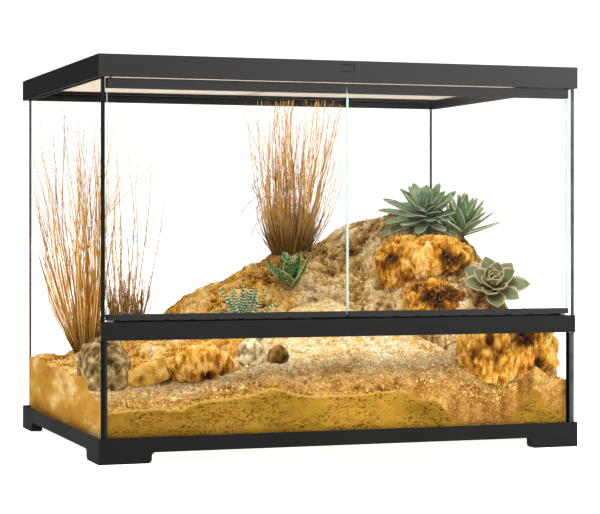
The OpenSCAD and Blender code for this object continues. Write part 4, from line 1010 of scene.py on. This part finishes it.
plantSet = {
    # seed, number of leaves and scatter of their golden angles; the place on the ground and the stem's
    # height; leaning about X and Z; then, from the outer leaves to the heart, their rise in degrees
    # (outermost, gain, scatter and power), their length in millimetres (outermost, gain, least and
    # most of the scatter) and their bend (outermost and gain, or the ends of its scatter)
    "agaveLarge": {
        "node": "agave_large", "slot": "agave_leaf", "leaves": (3, 46, 9), "place": (.635, .46, 6),
        "stem": 10, "lean": (26, 0, -22), "rise": (-10, 78, 6, 1), "length": (74, 1, -.55, .86, 1.04),
        "bendScatter": (-24, 8), "cup": 0.3, "droop": 12, "shorter": 0.2,
        "widths": [(0, 10), (.2, 14), (.5, 17), (.78, 15.5), (.93, 9.5), (1, 2)],
        "depths": [(0, 6), (.5, 4.4), (.9, 2.2), (1, 0.6)]},
    "agaveSmall": {
        "node": "agave_small", "slot": "agave_leaf", "leaves": (5, 26, 10), "place": (.8, .44, 2),
        "stem": 9, "lean": (6, 0, 0), "rise": (24, 60, 5, 1), "length": (54, 1.05, -.25, .9, 1.08),
        "bendScatter": (-8, 8), "cup": 0.22,
        "widths": [(0, 8), (.3, 12), (.6, 12.5), (.88, 8), (1, 1.4)],
        "depths": [(0, 6), (.5, 4.4), (.9, 2.2), (1, 0.6)]},
    "greyRosette": {
        "node": "grey_rosette", "slot": "rosette_leaf", "leaves": (7, 21, 6), "place": (.815, .24, 20),
        "stem": 8, "lean": (52, 0, -19), "rise": (4, 70, 7, 1.1), "length": (47, 1, -.52, .93, 1.05),
        "bend": (16, 12), "cup": 0.36, "sides": 14,
        "widths": [(0, 10), (.25, 16), (.5, 25), (.68, 27), (.84, 19), (.95, 7), (1, 0.8)],
        "depths": [(0, 6), (.5, 4.5), (.9, 2.2), (1, 0.5)]},
    "zebraPlant": {
        "node": "zebra_plant", "slot": "zebra_leaf", "leaves": (9, 16, 8), "place": (-.235, .42, 2),
        "stem": 8, "lean": (8, 0, 0), "rise": (38, 44, 4, 1), "length": (58, 1, -.25, .88, 1.1),
        "bendScatter": (0, 16), "cup": 0.16, "rows": 20, "bands": 13,
        "widths": [(0, 14), (.3, 15), (.65, 10), (.92, 4), (1, 0.6)],
        "depths": [(0, 7), (.5, 5), (.9, 2), (1, 0.5)]},
    "spottedPlant": {
        "node": "spotted_plant", "slot": "spotted_leaf", "leaves": (13, 13, 7), "place": (.03, .53, 4),
        "stem": 7, "lean": (26, 0, -50), "rise": (32, 48, 5, 1), "length": (50, 1, -.25, .9, 1.06),
        "bend": (26, 14), "cup": 0.2, "fleck": 2.4,
        "widths": [(0, 15), (.3, 21), (.6, 20), (.85, 11), (1, 1)],
        "depths": [(0, 8), (.5, 6), (.9, 2.4), (1, 0.5)]},
}


def growPlant(name, look):
    # leaves at the golden angle round a short stem, from the outermost to the heart
    plant = plantSet[name]
    seed, count, jitter = plant["leaves"]
    random = np.random.default_rng(seed)
    azimuth = np.arange(count) * goldenAngle + random.normal(0, jitter, count)
    turn = np.radians(azimuth)
    heart = np.linspace(0, 1, count)
    low, gain, scatter, power = plant["rise"]
    rise = low + gain * heart ** power + random.normal(0, scatter, count)
    # leaves on the viewer's side and to the left hang lower, as on a plant grown towards the light
    droop = plant.get("droop", 0)
    rise = rise + droop * np.sin(turn) + droop * np.cos(turn)
    size, outer, gain, least, most = plant["length"]
    length = size * (outer + gain * heart) * random.uniform(least, most, count)
    length = length * (1 - plant.get("shorter", 0) * np.cos(turn + 0.4))
    if "bend" in plant:
        bend = plant["bend"][0] + plant["bend"][1] * heart
    else:
        bend = random.uniform(*plant["bendScatter"], count)
    base = onGround(*plant["place"]) + np.stack([0 * heart, 0 * heart, plant["stem"] * heart], -1)[:, None]
    points, marks = leaves(base, turned(*plant["lean"]), azimuth, rise, bend, length, plant["widths"],
                           plant["depths"], plant["cup"], plant.get("rows", 13), plant.get("sides", 12))
    leafPiece(name, plant["node"], look, points, marks)


def zebraLook():
    # dark leaves with white bands across them
    look, tree, shader, coords, colour, place = leafMaterial(
        "zebraLeaf", [(0.2, "#35521f"), (0.5, "#4c7030"), (0.8, "#779a4e")], "#86a35a", "#3d5c2a")
    wave = addNode(tree, "Math", [place.outputs["Y"], plantSet["zebraPlant"]["bands"] * 2 * math.pi],
                   operation="MULTIPLY")
    wave = addNode(tree, "Math", [wave], operation="SINE")
    band = addNode(tree, "MapRange", [wave, 0.3, 0.7])
    # the bands are rows of white warts, so they break off here and there
    wart = addNode(tree, "TexNoise", {"Vector": coords, "Scale": 420.0, "Detail": 1.0})
    broken = addNode(tree, "MapRange", [wart, 0.4, 0.5])
    band = addNode(tree, "Math", [band, broken], operation="MULTIPLY")
    setInputs(shader, {"Base Color": addNode(tree, "MixRGB", [band, colour, "#e4ead8"])})
    return look


def spottedLook():
    # deep green leaves with round pale flecks
    look, tree, shader, coords, colour, place = leafMaterial(
        "spottedLeaf", [(0.2, "#102a08"), (0.5, "#35681a"), (0.75, "#93bf4a")], "#a8c866", "#2a5216")
    cells = addNode(tree, "TexVoronoi", {"Vector": coords,
                                         "Scale": 1 / (plantSet["spottedPlant"]["fleck"] * mm)})
    fleck = addNode(tree, "MapRange", [cells, 0.22, 0.32, 0.9, 0.0])
    setInputs(shader, {"Base Color": addNode(tree, "MixRGB", [fleck, colour, "#dce6c4"])})
    return look


def makePlants():
    agave = leafMaterial("agaveLeaf", [(0.2, "#233a1f"), (0.42, "#4e6a40"), (0.72, "#9bab7c")],
                         "#dde3bd", "#435a3d")
    growPlant("agaveLarge", agave[0])
    offset = leafMaterial("offsetLeaf", [(0.18, "#c8bd5a"), (0.36, "#6b8048"), (0.72, "#b0c08c")],
                          "#e8edc4", "#5d7748")
    growPlant("agaveSmall", offset[0])
    rosette = leafMaterial("rosetteLeaf", [(0.2, "#1d2f15"), (0.42, "#626b42"), (0.75, "#969465")],
                           "#cdb48e", "#7c7a52", 0.55, 0.66)
    growPlant("greyRosette", rosette[0])
    growPlant("zebraPlant", zebraLook())
    growPlant("spottedPlant", spottedLook())
    print("plants grown")


# dry grass

# rings and sides of a stalk, millimetres that stay clear under the cover, the share of broken stalks,
# twigs for each stalk and the most that a loop turns
grassSet = {"rings": 12, "sides": 4, "topClear": 12, "broken": 0.16, "twigs": 0.6, "loopBend": 190}

# clumps of each tuft: place, foot, the spread of its stalks in degrees, how far they turn upright
# again, their height and number, the lean of the whole, and the short crown and loops round its foot
grassClumps = {
    "left": [{"u": -.8, "v": .82, "foot": 13, "spread": 25, "upright": 0.5, "height": 335, "stalks": 132,
              "aslant": -9, "crown": 60, "crownStalks": 110, "loops": 70},
             {"u": -.6, "v": .86, "foot": 17, "spread": 24, "upright": 0.45, "height": 255, "stalks": 20,
              "aslant": 2, "crown": 78, "crownStalks": 170, "loops": 26}],
    "centre": [{"u": .1, "v": .68, "foot": 22, "spread": 38, "upright": 0.8, "height": 262, "stalks": 128,
                "aslant": 7, "crown": 58, "crownStalks": 460, "loops": 210}],
}


def strawMaterial(name, tones):
    # dried grass: split straw, gold in the light and brown towards the foot, where the stalks are packed, as
    # painted shade
    material, tree, shader, coords = newMaterial(name, {"Roughness": 0.6, "Specular IOR Level": 0.12})
    place = addNode(tree, "Attribute", attribute_name="leaf").outputs["Vector"]
    place = addNode(tree, "SeparateXYZ", [place])
    tone = addNode(tree, "ValToRGB", [place.outputs["X"]], tones)
    streak = addNode(tree, "TexNoise", {"Vector": coords, "Scale": 300.0, "Detail": 2.0})
    shade = addNode(tree, "ValToRGB", [streak], [(0.3, "#c9a878"), (0.7, "#ffffff")])
    mixed = addNode(tree, "MixRGB", [0.5, tone, shade], blend_type="MULTIPLY")
    dark = addNode(tree, "MixRGB", [place.outputs["Z"], mixed, "#46300f"])
    setInputs(shader, {"Base Color": dark})
    return material


def stalks(roots, azimuth, lean, bend, kink, length, radius, dark, random, rings=None, sides=None, early=1.0):
    # bent, slightly wavering rods, thinner towards the tip; the bend is done by the part early of
    # their length, and kink turns the last part of a broken one
    rings, sides = rings or grassSet["rings"], sides or grassSet["sides"]
    t = np.linspace(0, 1, rings)
    rise = np.radians(lean[:, None] + bend[:, None] * np.minimum(t / early, 1) + kink[:, None] * (t > 0.62))
    out, up = bentLine(rise, length)
    phase = random.uniform(0, 6.28, (len(length), 1))
    waver = np.sin(t[None] * 6 + phase) * (length[:, None] * 0.036) * t[None]
    turn = np.radians(azimuth)[:, None]
    middle = roots[:, None] + np.stack([out * np.cos(turn) - waver * np.sin(turn),
                                        out * np.sin(turn) + waver * np.cos(turn), up], -1)
    a = np.arange(sides) * 2 * math.pi / sides
    size = radius[:, None] * (1 - 0.7 * t[None])
    ring = np.stack([np.cos(a), np.sin(a), 0 * a], -1)
    points = middle[:, :, None] + ring[None, None] * size[..., None, None]
    tone = random.uniform(0, 1, len(length))
    spread = np.ones(points.shape[:3])
    # the third mark darkens a stalk below the height dark: painted shade at the packed foot
    marks = np.stack([tone[:, None, None] * spread, t[None, :, None] * spread,
                      (np.clip(1 - up / dark[:, None], 0, 1) * 0.85)[:, :, None] * spread], -1)
    return points, marks, middle


def scattered(base, radius, azimuth, out):
    # points round the base, at the part out of the radius
    turn = np.radians(azimuth)
    return base + np.stack([np.cos(turn) * radius * out, np.sin(turn) * radius * out, 0 * out], -1)


def clump(shape, random):
    # long stalks that spread and then turn upright, a crown of short ones dark with painted shade, twigs and
    # loops
    base = onGround(shape["u"], shape["v"]) - np.array([0, 0, 7])
    top = cadCorners("cover_frame")[0][2] - grassSet["topClear"]
    count = shape["stalks"]
    out = np.sqrt(random.uniform(0.02, 1, count))
    azimuth = random.uniform(0, 360, count)
    roots = scattered(base, shape["foot"], azimuth, out)
    lean = 90 - shape["spread"] * out * random.uniform(0.55, 1.12, count)
    bend = (90 - lean) * shape["upright"] * random.uniform(0.6, 1.25, count)
    lean = lean - shape["aslant"] * np.cos(np.radians(azimuth))
    kink = np.where(random.uniform(0, 1, count) < grassSet["broken"], random.uniform(-110, -25, count), 0)
    length = shape["height"] * random.uniform(0.35, 1.0, count) ** 0.5
    length = np.minimum(length, (top - roots[:, 2]) / np.sin(np.radians(np.clip(lean + bend, 30, 90))))
    radius = random.uniform(0.5, 1.0, count)
    parts = [stalks(roots, azimuth, lean, bend, kink, length, radius, np.full(count, shape["crown"] * 0.8),
                    random, early=0.45)]
    middle = parts[0][2]
    crown = shape["crownStalks"]
    out = np.sqrt(random.uniform(0, 1, crown))
    azimuth = random.uniform(0, 360, crown)
    crownLean = 90 - shape["spread"] * out * random.uniform(0.6, 1.0, crown)
    parts.append(stalks(scattered(base, shape["foot"], azimuth, out), azimuth, crownLean,
                        random.normal(10, 12, crown), 0 * out,
                        shape["crown"] * random.uniform(0.4, 1.25, crown),
                        random.uniform(0.5, 1.1, crown), np.full(crown, shape["crown"] * 1.5), random,
                        rings=6))
    twigs = int(count * grassSet["twigs"])
    parent = random.integers(0, count, twigs)
    start = middle[parent, random.integers(3, grassSet["rings"] - 2, twigs)]
    reach = np.minimum(length[parent] * random.uniform(0.08, 0.24, twigs), top - start[:, 2])
    parts.append(stalks(start, random.uniform(0, 360, twigs), random.uniform(30, 85, twigs),
                        random.normal(0, 30, twigs), 0 * reach, np.clip(reach, 2, None),
                        random.uniform(0.22, 0.4, twigs), np.full(twigs, 1.0), random, rings=6, sides=3))
    loops = shape["loops"]
    azimuth = random.uniform(0, 360, loops)
    rise = random.uniform(0.45, 1.9, loops) * shape["crown"]
    start = scattered(base, shape["foot"] * 1.25, azimuth, random.uniform(0.3, 1.3, loops))
    start[:, 2] += rise
    parts.append(stalks(start, azimuth + random.normal(0, 75, loops), random.uniform(-25, 60, loops),
                        random.uniform(-1, 1, loops) * grassSet["loopBend"], 0 * rise,
                        random.uniform(25, 95, loops),
                        random.uniform(0.35, 0.75, loops), np.full(loops, 1.0), random, sides=3))
    return [(points, marks) for points, marks, unused in parts]


def tuft(name, node, look, clumps, seed):
    # every stalk keeps its own number of rings, so the parts are joined as meshes
    random = np.random.default_rng(seed)
    points, faces, marks, start = [], [], [], 0
    room = np.array([innerX, innerY]) - 2
    for shape in clumps:
        for grid, mark in clump(shape, random):
            grid[..., :2] = np.clip(grid[..., :2], -room, room)
            count, rows, sides = grid.shape[:3]
            faces.extend(rodFaces(count, rows, sides, start))
            points.append(grid.reshape(-1, 3))
            marks.append(mark.reshape(-1, 3))
            start += count * rows * sides
    addPiece(name, np.concatenate(points), faces, look, node=node,
             marks={"leaf": np.concatenate(marks)})


def makeGrass():
    look = strawMaterial("dryStraw", [(0.0, "#8f5a16"), (0.3, "#c48a2a"), (0.6, "#e2b04e"), (1.0, "#f5dc96")])
    tuft("grassLeft", "grass_tuft_left", look, grassClumps["left"], 21)
    tuft("grassCentre", "grass_tuft_centre", look, grassClumps["centre"], 22)
    print("grass grown")


# build

makeCamera()
makeLights()
makeFloor()
dressCase()
makeScreen()
makeGround()
makeCrumbs()
makeStones()
makeSlab()
makePot()
makePlants()
makeGrass()

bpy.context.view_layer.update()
